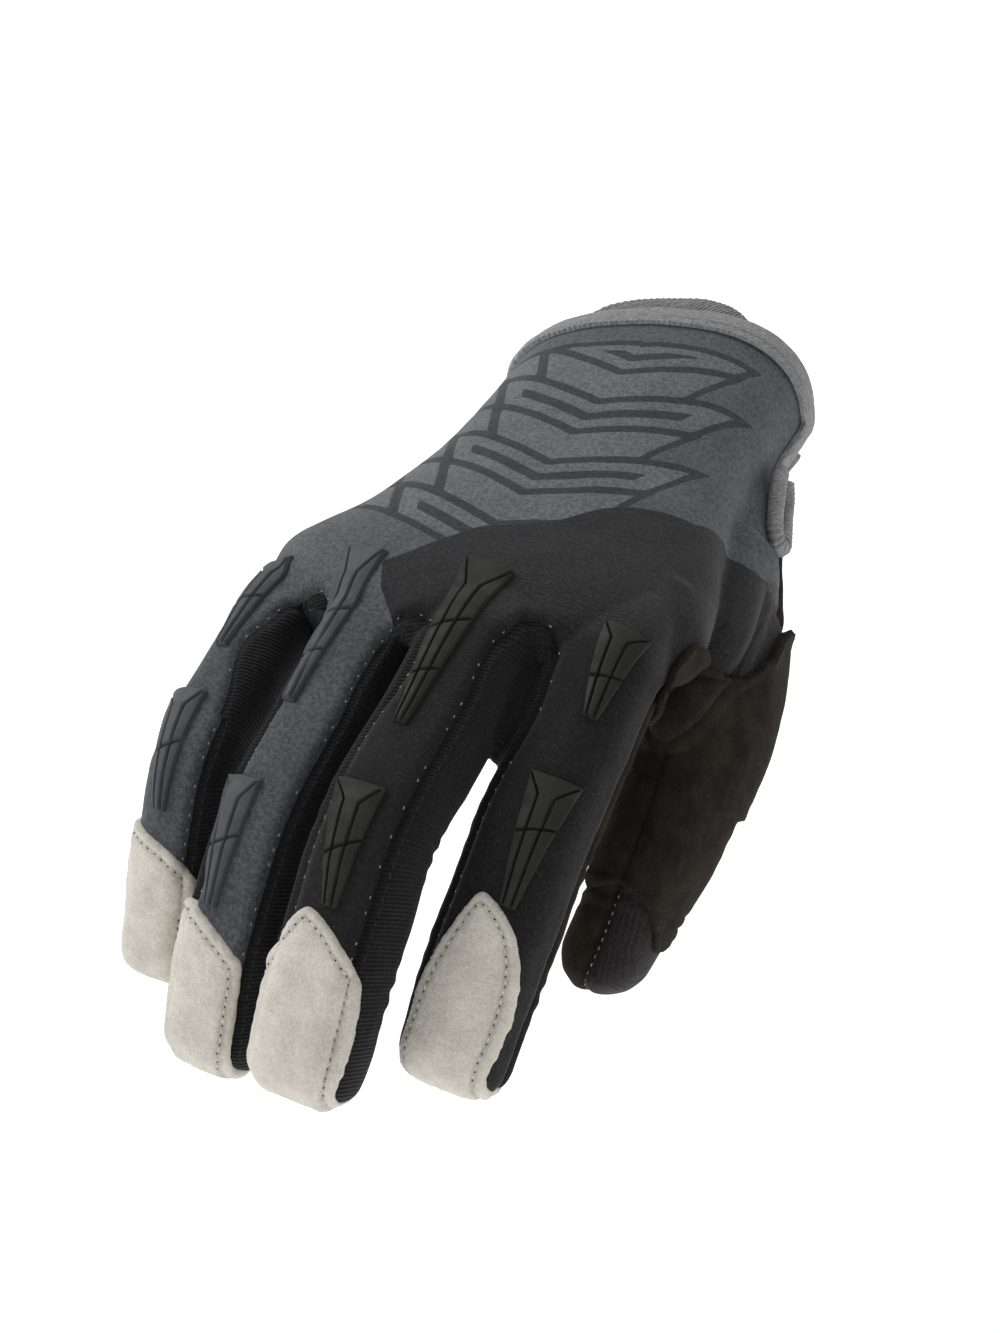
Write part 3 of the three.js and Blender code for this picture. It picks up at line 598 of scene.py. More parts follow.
def border(tris):
    e = np.vstack([tris[:, [0, 1]], tris[:, [1, 2]], tris[:, [2, 0]]])
    key = np.sort(e, axis=1)
    _, where, counts = np.unique(key, axis=0, return_inverse=True, return_counts=True)
    return e[counts[where.ravel()] == 1]


def thick(tris, out, into):
    """Closed solid between a skin moved out and the same moved in."""
    n = len(out)
    edge = border(tris)
    walls = np.vstack([np.stack([edge[:, 1], edge[:, 0], edge[:, 0] + n], 1),
                       np.stack([edge[:, 1], edge[:, 0] + n, edge[:, 1] + n], 1)])
    return np.vstack([out, into]), np.vstack([tris, tris[:, ::-1] + n, walls])


def to_object(name, points, tris, attributes, material, sharp=50):
    """An object in metres, with numbers at its points, smooth but for edges sharper than so many degrees."""
    mesh = bpy.data.meshes.new(name)
    mesh.vertices.add(len(points))
    mesh.vertices.foreach_set("co", (np.asarray(points) * MM).ravel())
    mesh.loops.add(len(tris) * 3)
    mesh.loops.foreach_set("vertex_index", np.asarray(tris).ravel().astype(np.int32))
    mesh.polygons.add(len(tris))
    mesh.polygons.foreach_set("loop_start", np.arange(0, len(tris) * 3, 3, dtype=np.int32))
    mesh.update(calc_edges=True)
    mesh.validate()
    mesh.polygons.foreach_set("use_smooth", np.ones(len(mesh.polygons), bool))
    mesh.set_sharp_from_angle(angle=radians(sharp))
    for key, values in attributes.items():
        mesh.attributes.new(key, "FLOAT", "POINT").data.foreach_set("value", values.astype(np.float32))
    mesh.materials.append(material)
    return added(name, mesh)


def finish_piece(obj, slot, *nodes):
    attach(obj, "root")
    if nodes:
        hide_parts(*nodes)


def lifted(points, fields, height):
    return points + fields["normal"] * np.reshape(height, (-1, 1))


def covering(name, node, slot, material, part, out, into, keep=("across", "along"), seam=None):
    """A piece between two heights over a part of the skin, with seam as its marks outside and inside."""
    tris, points, fields = part
    points, solid = thick(tris, lifted(points, fields, out), lifted(points, fields, into))
    values = {k: np.tile(fields[k], 2) for k in keep}
    if seam is not None:
        values["seam"] = np.concatenate(seam)
    finish_piece(to_object(name, points, solid, values, material), slot, node)


# Materials

def srgb(r, g, b):
    c = np.array([r, g, b]) / 255
    return (*(float(v) for v in np.where(c <= 0.04045, c / 12.92, ((c + 0.055) / 1.055) ** 2.4)), 1.0)


class Shade:
    """A material under construction."""

    def __init__(self, name, roughness=0.85, specular=0.3, sheen=0.0, sheen_tint=(1, 1, 1, 1)):
        self.material = bpy.data.materials.new(name)
        self.material.use_nodes = True
        self.tree = self.material.node_tree
        self.shader = next(n for n in self.tree.nodes if n.type == "BSDF_PRINCIPLED")
        for key, value in {"Roughness": roughness, "Specular IOR Level": specular, "Sheen Weight": sheen,
                           "Sheen Roughness": 0.5, "Sheen Tint": sheen_tint}.items():
            self.shader.inputs[key].default_value = value
        scaled = self.node("ShaderNodeVectorMath", operation="SCALE")
        self.put(scaled.inputs[0], self.node("ShaderNodeTexCoord").outputs["Object"])
        scaled.inputs["Scale"].default_value = 1 / MM
        self.place = scaled.outputs["Vector"]

    def node(self, kind, **values):
        n = self.tree.nodes.new(kind)
        for key, value in values.items():
            setattr(n, key, value)
        return n

    def put(self, socket, value):
        if isinstance(value, bpy.types.NodeSocket):
            self.tree.links.new(value, socket)
        else:
            socket.default_value = value

    def math(self, operation, a, b=None, c=None):
        n = self.node("ShaderNodeMath", operation=operation)
        for k, value in enumerate((a, b, c)):
            if value is not None:
                self.put(n.inputs[k], value)
        return n.outputs[0]

    def attribute(self, name):
        return self.node("ShaderNodeAttribute", attribute_name=name, attribute_type="GEOMETRY").outputs["Fac"]

    def over(self, name, *values):
        return self.ramp(self.attribute(name), *values)

    def noise(self, scale, detail=2.0, roughness=0.5):
        n = self.node("ShaderNodeTexNoise")
        self.put(n.inputs["Vector"], self.place)
        for key, value in {"Scale": scale, "Detail": detail, "Roughness": roughness}.items():
            n.inputs[key].default_value = value
        return n.outputs["Fac"]

    def ramp(self, value, low, high, out_low=0.0, out_high=1.0):
        n = self.node("ShaderNodeMapRange", interpolation_type="SMOOTHSTEP")
        for k, v in enumerate((value, low, high, out_low, out_high)):
            self.put(n.inputs[k], v)
        return n.outputs[0]

    def mix(self, share, a, b, blend="MIX"):
        n = self.node("ShaderNodeMix", data_type="RGBA", blend_type=blend)
        for k, value in ((0, share), (6, a), (7, b)):
            self.put(n.inputs[k], value)
        return n.outputs[2]

    def tinted(self, colour, amount):
        """colour made lighter or darker by a factor."""
        n = self.node("ShaderNodeCombineColor")
        for k in range(3):
            self.put(n.inputs[k], amount)
        return self.mix(1.0, colour, n.outputs[0], "MULTIPLY")

    def ribs(self, first, second, lean, pitch):
        """Waves over one measure of the cloth plus lean times another."""
        value = self.math("ADD", first, self.math("MULTIPLY", second, lean))
        return self.math("SINE", self.math("MULTIPLY", value, 2 * pi / pitch))

    def done(self, colour, factors=(), bumps=(), roughness=None):
        """Colour times factors that vary, and reliefs of so many millimetres on top of each other."""
        for amount in factors:
            colour = self.tinted(colour, amount)
        self.put(self.shader.inputs["Base Color"], colour)
        if roughness is not None:
            self.put(self.shader.inputs["Roughness"], roughness)
        relief = None
        for height, depth in bumps:
            n = self.node("ShaderNodeBump")
            n.inputs["Strength"].default_value = 1.0
            n.inputs["Distance"].default_value = depth * MM
            self.put(n.inputs["Height"], height)
            if relief is not None:
                self.put(n.inputs["Normal"], relief)
            relief = n.outputs["Normal"]
        if relief is not None:
            self.put(self.shader.inputs["Normal"], relief)
        return self.material


def heather(m, colour, flecks):
    """Melange cloth: fine light and dark yarns."""
    fine = m.ramp(m.noise(1.15, 3, 0.7), 0.36, 0.64, 0.7, 1.3)
    wide = m.ramp(m.noise(0.06, 2), 0.3, 0.7, 0.93, 1.07)
    colour = m.tinted(colour, m.math("MULTIPLY", fine, wide))
    spark = m.ramp(m.noise(1.9, 1, 0.5), 0.66, 0.74, 0.0, flecks)
    return m.mix(spark, colour, srgb(150, 150, 154))


def back_cloth():
    m = Shade("back_cloth", 0.88, 0.22, 0.12)
    grey, dark, pale = (m.over(name, -0.12, 0.12) for name in ("grey", "print", "field"))
    ground = m.mix(pale, srgb(87, 89, 93), srgb(102, 103, 107))
    ground = m.mix(dark, ground, srgb(54, 55, 57))
    # Painted shade: the black cloth is darker on the fingers, (28, 28, 29) against (41, 41, 43); the grey there is a
    # little darker as well.
    fingers = m.over("weight", 0.3, 0.7)
    ground = m.mix(fingers, ground, srgb(80, 82, 87))
    colour = m.mix(grey, m.mix(fingers, srgb(41, 41, 43), srgb(28, 28, 29)), ground)
    shown = m.ramp(m.noise(0.05, 1), 0.35, 0.65)
    rows = m.math("MULTIPLY", m.ribs(m.attribute("along"), m.noise(0.12), 3.0, 0.7), shown)
    colour = heather(m, m.tinted(colour, m.math("MULTIPLY_ADD", rows, 0.05, 1.0)), 0.1)
    # Painted shade: darker in the seams, and a painted shadow of the cuff tape's edge on the band 7.6 to 9.4 mm in
    # from the rim.
    return m.done(colour, [m.over("seam", 0.0, 1.6, 0.62, 1.0), m.over("edge", 7.6, 9.4, 0.35, 1.0)],
                  [(m.noise(1.6, 3, 0.7), 0.16), (rows, 0.03)])


def side_cloth():
    """Ribbed stretch cloth of the side strips, ribs across the finger."""
    m = Shade("side_cloth", 0.9, 0.18, 0.08)
    rows = m.ribs(m.attribute("along"), m.attribute("across"), 0.35, 0.85)
    colour = heather(m, m.tinted(srgb(27, 27, 28), m.math("MULTIPLY_ADD", rows, 0.13, 1.0)), 0.03)
    # Painted shade: darker in the seams.
    return m.done(colour, [m.over("seam", 0.0, 1.6, 0.55, 1.0)], [(rows, 0.1), (m.noise(2.0, 2), 0.1)])


def plain_cloth():
    m = Shade("thumb_cloth", 0.9, 0.2, 0.1)
    rows = m.ribs(m.attribute("across"), m.noise(0.1), 2.0, 1.0)
    # Painted shade: darker in the seams.
    return m.done(heather(m, srgb(37, 33, 35), 0.05), [m.over("seam", 0.0, 1.6, 0.6, 1.0)],
                  [(m.noise(1.6, 3, 0.7), 0.16), (rows, 0.07)])


def suede(name, base, low, high, nap, grain=0.32, groove=0.6, groove_width=1.6, size=1.0):
    """Suede in blots between two colours, with fibres and pits, and painted shade along its seams and grooves."""
    m = Shade(name, 0.94, 0.1, nap, tuple(min(1.0, c * 2.4 + 0.04) for c in base[:3]) + (1.0,))
    colour = m.mix(m.ramp(m.noise(0.16, 4, 0.62), 0.3, 0.7), low, high)
    return m.done(colour, [m.ramp(m.noise(1.7 * size, 4, 0.75), 0.28, 0.72, 0.84, 1.13),
                           m.ramp(m.noise(1.4 * size, 2, 0.6), 0.3, 0.38, 0.86, 1.0),
                           # painted shade in the seams and grooves; groove sets how dark
                           m.over("seam", 0.0, groove_width, groove, 1.0)],
                  [(m.noise(1.6 * size, 4, 0.7), grain), (m.noise(0.5 * size, 2), grain)])


def rubber(name, colour):
    m = Shade(name, 0.65, 0.3)
    # Painted light and shade: lighter on the raised middle, darker in the grooves and on the flanks, by the height
    # mark.
    return m.done(colour, [m.over("rise", 0.55, 1.0, 0.86, 1.14), m.ramp(m.noise(0.5, 2), 0.3, 0.7, 0.92, 1.08)],
                  [(m.noise(2.2, 2), 0.04)], m.ramp(m.noise(0.3, 3), 0.3, 0.7, 0.56, 0.76))


def tape(name, colour, pitch=0.6, lean=0.6, shaded_groove=False):
    """Knitted elastic tape, finely ribbed; optionally with painted shade in its groove."""
    m = Shade(name, 0.9, 0.2, 0.2)
    rows = m.ribs(m.attribute("along"), m.attribute("across"), lean, pitch)
    factors = [m.math("MULTIPLY_ADD", rows, 0.09, 1.0), m.ramp(m.noise(1.1, 3, 0.7), 0.3, 0.7, 0.76, 1.24)]
    # Painted shade in the groove beside the rolled edge.
    if shaded_groove:
        factors.append(m.over("seam", 0.1, 0.7, 0.45, 1.0))
    return m.done(colour, factors, [(rows, 0.12), (m.noise(1.7, 3, 0.7), 0.16)])


def thread(name, colour):
    m = Shade(name, 0.7, 0.3, 0.1)
    return m.done(colour, [m.ramp(m.noise(1.2, 2), 0.3, 0.7, 0.75, 1.2)], [(m.noise(3.0, 2), 0.06)])


cloth_back = back_cloth()
cloth_side = side_cloth()
cloth_thumb = plain_cloth()
palm_suede = suede("palm_suede", srgb(44, 42, 34), srgb(38, 35, 28), srgb(52, 49, 40), 0.25)
thumb_suede = suede("thumb_suede", srgb(44, 39, 34), srgb(36, 31, 27), srgb(52, 46, 40), 0.3)
light_suede = suede("light_suede", srgb(224, 218, 207), srgb(216, 210, 199), srgb(232, 227, 216),
                    0.15, 0.3, 0.7, 0.8, 1.25)
black_rubber = rubber("black_rubber", srgb(38, 38, 36))
grey_rubber = rubber("grey_rubber", srgb(78, 80, 84))
binding_tape = tape("binding_tape", srgb(162, 162, 163), shaded_groove=True)
rib_elastic = tape("ribbed_elastic", srgb(138, 138, 139), 1.0, 1.0)
loop_knit = tape("loop_knit", srgb(150, 150, 150), 1.0, 0.3)
pale_thread = thread("pale_thread", srgb(176, 172, 166))
patch_thread = thread("patch_thread", srgb(222, 216, 206))
# Dark thread for the side strips' stitches, also used as painted shade in the patches' needle holes.
dark_thread_and_hole_shade = thread("dark_thread_and_hole_shade", srgb(30, 30, 31))

# The panels

SEAM, EDGE_INSET = 0.03, 1.2  # half the gap between panels, and how deep their edge lies in the tape


def panel(name, node, slot, material, *cuts):
    covering(name, node, slot, material, part_of(*cuts), 0, -WALL,
             ("grey", "print", "field", "across", "along", "seam", "weight", "edge"))


hand_cuts = (("strip", -1, SEAM), ("thumb", -1, SEAM), ("edge", 1, EDGE_INSET))
panel("back_cloth", "back_panel", "back_fabric", cloth_back, ("upper", 1, SEAM), *hand_cuts)
panel("palm_cloth", "palm_panel", "palm_suede", palm_suede, ("upper", -1, SEAM), *hand_cuts)
for k, (first, second, *_) in enumerate(WEBS):
    panel(f"side_strip_{first}_{second}", f"fourchette_{first}_{second}", "side_fabric", cloth_side,
          (f"strip{k}", 1, SEAM), ("thumb", -1, SEAM))
panel("thumb_back_cloth", "thumb_back", "black_fabric", cloth_thumb, ("thumb", 1, SEAM), ("thumb_up", 1, SEAM))
panel("thumb_palm_cloth", "thumb_palm", "palm_suede", palm_suede, ("thumb", 1, SEAM), ("thumb_up", -1, SEAM))


# Paths along a line on the skin, and stitches on them

def contours(field, level, keep, source=None):
    """Lines on the skin where field passes level, each as its points and their normals."""
    tris, points, norms = source or (skin_tris, skin, normal)
    f, sign, count = crossed(tris, field, level, 1e-6)
    links = {}
    for t in tris[((count == 1) | (count == 2)) & keep[tris].all(1)].tolist():
        p, q = [(min(a, b), max(a, b)) for a, b in zip(t, t[1:] + t[:1]) if sign[a] != sign[b]]
        links.setdefault(p, []).append(q)
        links.setdefault(q, []).append(p)
    seen, lines = set(), []
    starts = [k for k, v in links.items() if len(v) == 1] + list(links)
    for start in starts:
        if start in seen:
            continue
        line, at = [start], start
        seen.add(start)
        while at is not None:
            at = next((k for k in links[at] if k not in seen), None)
            if at is not None:
                seen.add(at)
                line.append(at)
        if len(line) > 6:
            i, j = np.array(line).T
            t = (f[i] / (f[i] - f[j]))[:, None]
            lines.append((points[i] * (1 - t) + points[j] * t, unit(norms[i] * (1 - t) + norms[j] * t)))
    return lines


def resampled(line, normals, step):
    length, rows = distances(line), np.hstack([line, normals])
    at = np.linspace(0, length[-1], max(int(length[-1] / step), 1) + 1)
    out = np.stack([np.interp(at, length, rows[:, k]) for k in range(6)], 1)
    return out[:, :3], unit(out[:, 3:])


def stitched(name, lines, slot, material, pitch, share, radius, lift, skipped=0.0, shift=0.0):
    """Short raised threads that follow lines on the skin."""
    points, tris, sides = [], [], 6
    ring = np.arange(sides) / sides * 2 * pi
    profile = [(-0.5, 0.25), (-0.42, 0.75), (-0.2, 1.0), (0.2, 1.0), (0.42, 0.75), (0.5, 0.25)]
    for line, norms in lines:
        p, n = resampled(line, norms, pitch)
        for k in range(len(p) - 1):
            way = p[k + 1] - p[k]
            long = np.linalg.norm(way)
            missed = skipped > 0 and rng.uniform() < skipped
            if long < 0.2 or missed:
                continue
            way = way / long
            up = unit(n[k] + n[k + 1])
            side = unit(np.cross(way, up))
            up = np.cross(side, way)
            way = unit(way + side * rng.uniform(-0.12, 0.12))
            middle = p[k] * (0.5 - shift) + p[k + 1] * (0.5 + shift) + up * lift
            first, last = len(points), len(points) + (len(profile) - 1) * sides
            for t, r in profile:
                spot = middle + way * t * long * share - up * abs(t) * 1.1 * radius
                points += [spot + radius * r * (side * cos(a) + up * sin(a)) for a in ring]
            for r in range(first, last, sides):
                for i in range(sides):
                    a, b = r + i, r + (i + 1) % sides
                    tris += [(a, a + sides, b), (b, a + sides, b + sides)]
            for i in range(1, sides - 1):
                tris += [(first, first + i, first + i + 1), (last, last + i + 1, last + i)]
    if points:
        finish_piece(to_object(name, np.array(points), np.array(tris), {}, material), slot)


on_top = (from_edge > 4) & (is_upper > 0.3)
for k, (first, second, *_) in enumerate(WEBS):
    lines = contours(strips[k], -0.55, on_top)
    stitched(f"seam_stitches_{first}_{second}", lines, "side_fabric", pale_thread, 3.1, 0.2, 0.13, 0.1, 0.3)
    lines = contours(strips[k], 1.3, on_top)
    stitched(f"strip_stitches_{first}_{second}", lines, "side_fabric", dark_thread_and_hole_shade, 2.4, 0.7, 0.18, 0.0)

# Suede patches over the fingertips: outlines across the finger and back from its tip
PATCHES = {
    "index": [(-1.6, 38.4), (1.6, 37.6), (5.5, 35), (8.9, 31.2), (11.0, 24.6), (11.2, 13.5), (10.0, 4), (9.2, -12),
              (-8.2, -12), (-8.6, 2), (-8.3, 12), (-7.4, 20), (-5.4, 29), (-3.2, 35.5)],
    "middle": [(-4.9, 37.8), (-1.5, 37.2), (3.6, 34.2), (9.2, 29.0), (10.6, 24.6), (10.6, 10), (9.6, 3), (9, -12),
               (-13.5, -12), (-13.5, 22), (-10.5, 27), (-8.0, 31.6)],
    "ring": [(-8.6, 33.4), (-5.6, 32.6), (1.0, 29.4), (6.6, 26.2), (7.7, 23.4), (7.7, 10), (7.4, 4), (7.4, -12),
             (-13.5, -12), (-13.5, 30), (-11, 33)],
    "pinky": [(-8.6, 33.2), (-3.6, 31.6), (3.2, 29.0), (7.2, 25.6), (8.1, 22.4), (8.0, 8), (7.0, 2), (6.6, -12),
              (-11.5, -12), (-11.5, 31)],
}
PATCH_SEAM = 2.1  # line of stitches in from a patch's edge
for k, (name, f) in enumerate(FINGERS.items()):
    s, v, w = known[name]
    mine = (owner == k) & (s > f["length"] - 45)
    shape = np.full(len(skin), -float(OUT))
    shape[mine] = inside(np.stack([v[mine], f["length"] - s[mine]], 1), rounded(PATCHES[name], 2))
    shape = both(shape, w + 4.4 + 0.8 * np.sin(v * 0.55 + len(name)), 1.0)
    shape = shape + 0.14 * value_noise(plain_skin, 1.1, 21) * (shape < 3)
    FIELDS["patch"], FIELDS["tip_s"], FIELDS["tip_w"] = shape, s, w
    tris, points, fields = part = part_of(("patch", 1, 0.0))
    d = np.maximum(fields["patch"], 0)
    rise = 0.25 + 0.95 * (1 - np.exp(-d / 0.35)) - 0.4 * bell(d - PATCH_SEAM, 0.45)
    rise += 0.12 * value_noise(points, 1.0, 31) + 0.22 * value_noise(points, 5.5, 33)
    # The seam mark is the distance to the stitch line, where the suede gets painted shade.
    covering(f"tip_suede_{name}", f"tip_patch_{name}", "light_suede", light_suede, part, rise, -0.25,
             seam=(np.abs(fields["patch"] - PATCH_SEAM), np.full(len(d), 3.0)))
    top = lifted(points, fields, rise)
    shown = (fields["tip_w"] > -1.5) & (f["length"] - fields["tip_s"] > 3.5)
    lines = contours(fields["patch"], PATCH_SEAM, shown, (tris, top, normals_of(top, tris)))
    stitched(f"tip_stitches_{name}", lines, "light_suede", patch_thread, 2.0, 0.5, 0.25, 0.05)
    # Painted shade: dark thread bits between the pale stitches stand for the shade in the needle holes.
    stitched(f"tip_hole_shade_{name}", lines, "light_suede", dark_thread_and_hole_shade, 2.0, 0.2, 0.2, 0.02, shift=0.5)

# Moulded rubber strips: start and end along the finger, middle across at both, half width at both,
# places of the cross grooves and how they lean
STRIPS = {
    ("knuckle", "index"): (-1.2, 17.2, 4.6, 5.7, 5.0, 1.5, (0.52,), -0.2),
    ("knuckle", "middle"): (-9.6, 30.5, -3.2, -1.2, 5.7, 1.5, (0.4, 0.69), -0.5),
    ("knuckle", "ring"): (-9.8, 25.5, -6.6, -4.6, 4.7, 1.4, (0.4, 0.67), -0.5),
    ("knuckle", "pinky"): (-8.0, 16.6, -3.8, -3.3, 4.2, 1.4, (0.5,), -0.5),
    ("finger", "index"): (30.9, 57.4, 4.1, 4.8, 5.3, 1.6, (0.42,), -0.35),
    ("finger", "middle"): (43.8, 65.6, -2.1, 0.8, 5.8, 1.6, (0.5,), -0.5),
    ("finger", "ring"): (42.4, 66.8, -5.2, -2.6, 5.0, 1.5, (0.47,), -0.5),
    ("finger", "pinky"): (28.6, 49.4, -4.4, -1.3, 4.6, 1.4, (0.5,), -0.5),
}
RUBBER_RISE, RUBBER_STEP, RUBBER_ROWS = 1.7, 0.22, 61
RUBBER_HEAD = 0.17  # share of a strip's length in which its two grooves part


def rubber_strip(kind, name, s0, s1, v0, v1, wide0, wide1, grooves, lean):
    """A kite of rubber: a flat middle between two grooves that part at the head, flanks that fall away."""
    reach = s1 - s0
    nt, nq = int(reach / RUBBER_STEP) + 1, RUBBER_ROWS
    T, Q = np.meshgrid(np.linspace(0, 1, nt), np.linspace(-1, 1, nq), indexing="ij")
    half = wide0 + (wide1 - wide0) * T
    V = v0 + (v1 - v0) * T + Q * half
    place, _, across, up = frame_at(FINGERS[name]["line"], (s0 + T * reach).ravel())
    flat = place + across * V.ravel()[:, None]
    level = np.full(nt * nq, 11.0)  # height of the skin over the finger's middle
    for i in range(nt * nq):
        hit = tree.ray_cast(Vector(flat[i] + up[i] * 30), Vector(-up[i]))[0]
        if hit is not None:
            level[i] = (np.array(hit) - flat[i]) @ up[i]
    level = level.reshape(nt, nq)
    for _ in range(30):
        grown = np.pad(level, 1, mode="reflect", reflect_type="odd")
        level = 0.25 * (grown[:-2, 1:-1] + grown[2:, 1:-1] + grown[1:-1, :-2] + grown[1:-1, 2:])
    base = (flat + up * level.reshape(-1, 1)).reshape(nt, nq, 3)
    facing = unit(np.cross(np.gradient(base, axis=0), np.gradient(base, axis=1)))
    facing *= np.sign(np.einsum("ijk,ijk->ij", facing, up.reshape(nt, nq, 3)))[..., None]
    groove_at = np.interp(T, [0, RUBBER_HEAD, 1], [0.97 * wide0, 0.3 * wide0, 0.42 * wide1])
    beside = np.abs(Q) * half - groove_at
    flank = np.clip(beside / np.maximum(half - groove_at, 0.3), 0, 1)
    head = np.clip(1 - T / RUBBER_HEAD, 0, 1)
    rise = RUBBER_RISE - np.where(beside > 0, 0.12 + 0.62 * flank, 0.22 * head)
    rise -= 0.75 * bell(beside, 0.24) * smooth(T * reach, 0.2, 0.9)
    for c in grooves:
        rise -= 0.8 * bell(T * reach - c * reach - lean * Q * half, 0.26)
    rim = np.minimum.reduce([(1 - np.abs(Q)) * half, T * reach, (1 - T) * reach])
    rise = np.maximum(np.minimum(rise, 0.5 + rim * 2.2), 0.3)
    top, low = (base + facing * rise[..., None]).reshape(-1, 3), (base - facing * 0.3).reshape(-1, 3)
    index = np.arange(nt * nq).reshape(nt, nq)
    a, b, c, d = (corner.ravel() for corner in (index[:-1, :-1], index[1:, :-1], index[1:, 1:], index[:-1, 1:]))
    tris = np.vstack([np.stack([a, b, c], 1), np.stack([a, c, d], 1)])
    if np.cross(top[tris[0, 1]] - top[tris[0, 0]], top[tris[0, 2]] - top[tris[0, 0]]) @ facing[0, 0] < 0:
        tris = tris[:, ::-1]
    points, tris = thick(tris, top, low)
    # Height as a share of the full rise: the rubber material paints the tops lighter and the grooves and flanks darker
    # by it.
    share = np.concatenate([rise.ravel() / RUBBER_RISE, np.zeros(nt * nq)])
    slot, material = ("black_rubber", black_rubber) if name in ("index", "middle") else ("grey_rubber", grey_rubber)
    finish_piece(to_object(f"{kind}_rubber_{name}", points, tris, {"rise": share}, material, sharp=24),
                 slot, f"{kind}_strip_{name}")


for (kind, name), values in STRIPS.items():
    rubber_strip(kind, name, *values)

# The thumb's second layer of suede, with a free upper edge. Its outline: along the thumb and degrees round it,
# then a corner over the fork between thumb and index finger in side view
OVERLAY = [(50, -20), (50, 40), (54, 75), (59.4, 92), (66, 105), (69.6, 116), (74.3, 133), (76.9, 146), (75.5, 160),
           (78, 172), (82, 182), (88, 200), (96, 222), (115, 222), (124.8, 213), (122.6, 196), (121.2, 180),
           (120.5, 167), (121.5, 149), (124.6, 122), (129, 102), (129.5, 80), (127, 50), (122, 10), (116, -30),
           (100, -45), (75, -45), (58, -38)]
OVERLAY_CORNER = [(-84, -15.5), (-88.8, -9.2), (-94, -4), (-98.5, 2.6), (-101, 3.2), (-105.5, 1.6), (-111, -0.8),
                  (-113.4, -5.6), (-111, -12.5), (-106, -17.5), (-103, -23), (-96, -26), (-88, -22)]
DEGREE = 0.22  # millimetres round the thumb
thumb_turn = np.degrees(np.arctan2(tw, tv))
thumb_turn = np.where(thumb_turn < -100, thumb_turn + 360, thumb_turn)
near_thumb = (np.hypot(tv / (half_v + 9), tw / (half_w + 9)) < 1.0) & (ts > 40) & (ts < 134)
over = np.full(len(skin), -float(OUT))
over[near_thumb] = inside(np.stack([ts[near_thumb], thumb_turn[near_thumb] * DEGREE], 1),
                          rounded([(x, y * DEGREE) for x, y in OVERLAY], 2))
corner = np.where((sx > 36) & (sy < -80), inside(skin[:, 1:], rounded(OVERLAY_CORNER, 1)), -OUT)
over = either(over, corner, 1.0)
over += 0.25 * value_noise(plain_skin, 3.2, 43) * (over > -3)
FIELDS["over"], FIELDS["ts"], FIELDS["turn"] = over, ts, thumb_turn
_, points, fields = part = part_of(("over", 1, 0.0))
d = np.maximum(fields["over"], 0)
free = smooth(100 - fields["ts"], 0, 8)
lift = (0.3 + 0.75 * free) * bell(d, 1.5)
rise = 0.25 + 0.85 * (1 - np.exp(-d / 0.22)) + lift + 0.18 * value_noise(points, 6, 41)
# a third layer over the upper outer side ends in a step
step_at = 96 + 0.085 * (fields["turn"] - 53) - fields["ts"]
rise += 1.1 * smooth(step_at, -0.2, 0.5) * (1 - smooth(fields["turn"], 96, 128))
# The seam marks give painted shade along the overlay's free edge, on top and underneath.
covering("thumb_overlay_suede", "thumb_overlay", "thumb_suede", thumb_suede, part, rise, -0.2 + 0.8 * lift,
         seam=(d + 0.9, d))
tip_seam = contours(thumb_up, 0.35, (ts > 112) & (thumb_turn > 120) & (over < 0.5) & (is_thumb > 1))
stitched("thumb_tip_stitches", tip_seam, "black_fabric", pale_thread, 1.9, 0.45, 0.15, 0.05)

# Cuff: folded knitted tape with a rolled inner edge and a groove beside it
TAPE_WIDTH, TAPE_ROLL, TAPE_GROOVE = 7.4, 6.4, 5.1
_, points, fields = part = part_of(("edge", 1, 0.02), ("edge", -1, -TAPE_WIDTH))
d = fields["edge"]
rise = 0.4 + 0.55 * np.clip(d / 0.7, 0, 1) ** 0.5
rise += 0.75 * bell(d - TAPE_ROLL, 0.7) - 0.4 * bell(d - TAPE_GROOVE, 0.4)
rise += 0.12 * value_noise(points, 3, 51)
# The seam mark is the distance to the groove, where the binding tape gets painted shade.
covering("cuff_tape", "cuff_binding", "binding_tape", binding_tape, part, rise, -(WALL + 1.1),
         seam=(np.abs(d - TAPE_GROOVE), np.full(len(d), 3.0)))

# Ribbed elastic behind the tape at the back of the cuff
RIB_HALF, RIB_REACH, RIB_DEPTH, RIB_THICK, RIB_PITCH = 24, 8, 14, 1.4, 1.3
arc = RIB_REACH * np.maximum(1 - (sx / RIB_HALF) ** 2, 0) ** 0.7
rib_in = np.minimum.reduce([arc + rim_in, RIB_DEPTH - rim_in, RIB_HALF - np.abs(sx)])
FIELDS["rib"] = np.where(sz > 0, rib_in, -OUT)
_, _, fields = part = part_of(("rib", 1, 0.0))
ribbed = 0.12 * np.sin((fields["across"] + 0.5 * fields["along"]) * 2 * pi / RIB_PITCH)
inset = WALL + 1.3 - 2.4 * smooth(-fields["rim"], 0, 6)
covering("cuff_rib_elastic", "cuff_rib", "ribbed_elastic", rib_elastic, part, ribbed - inset, -(inset + RIB_THICK))

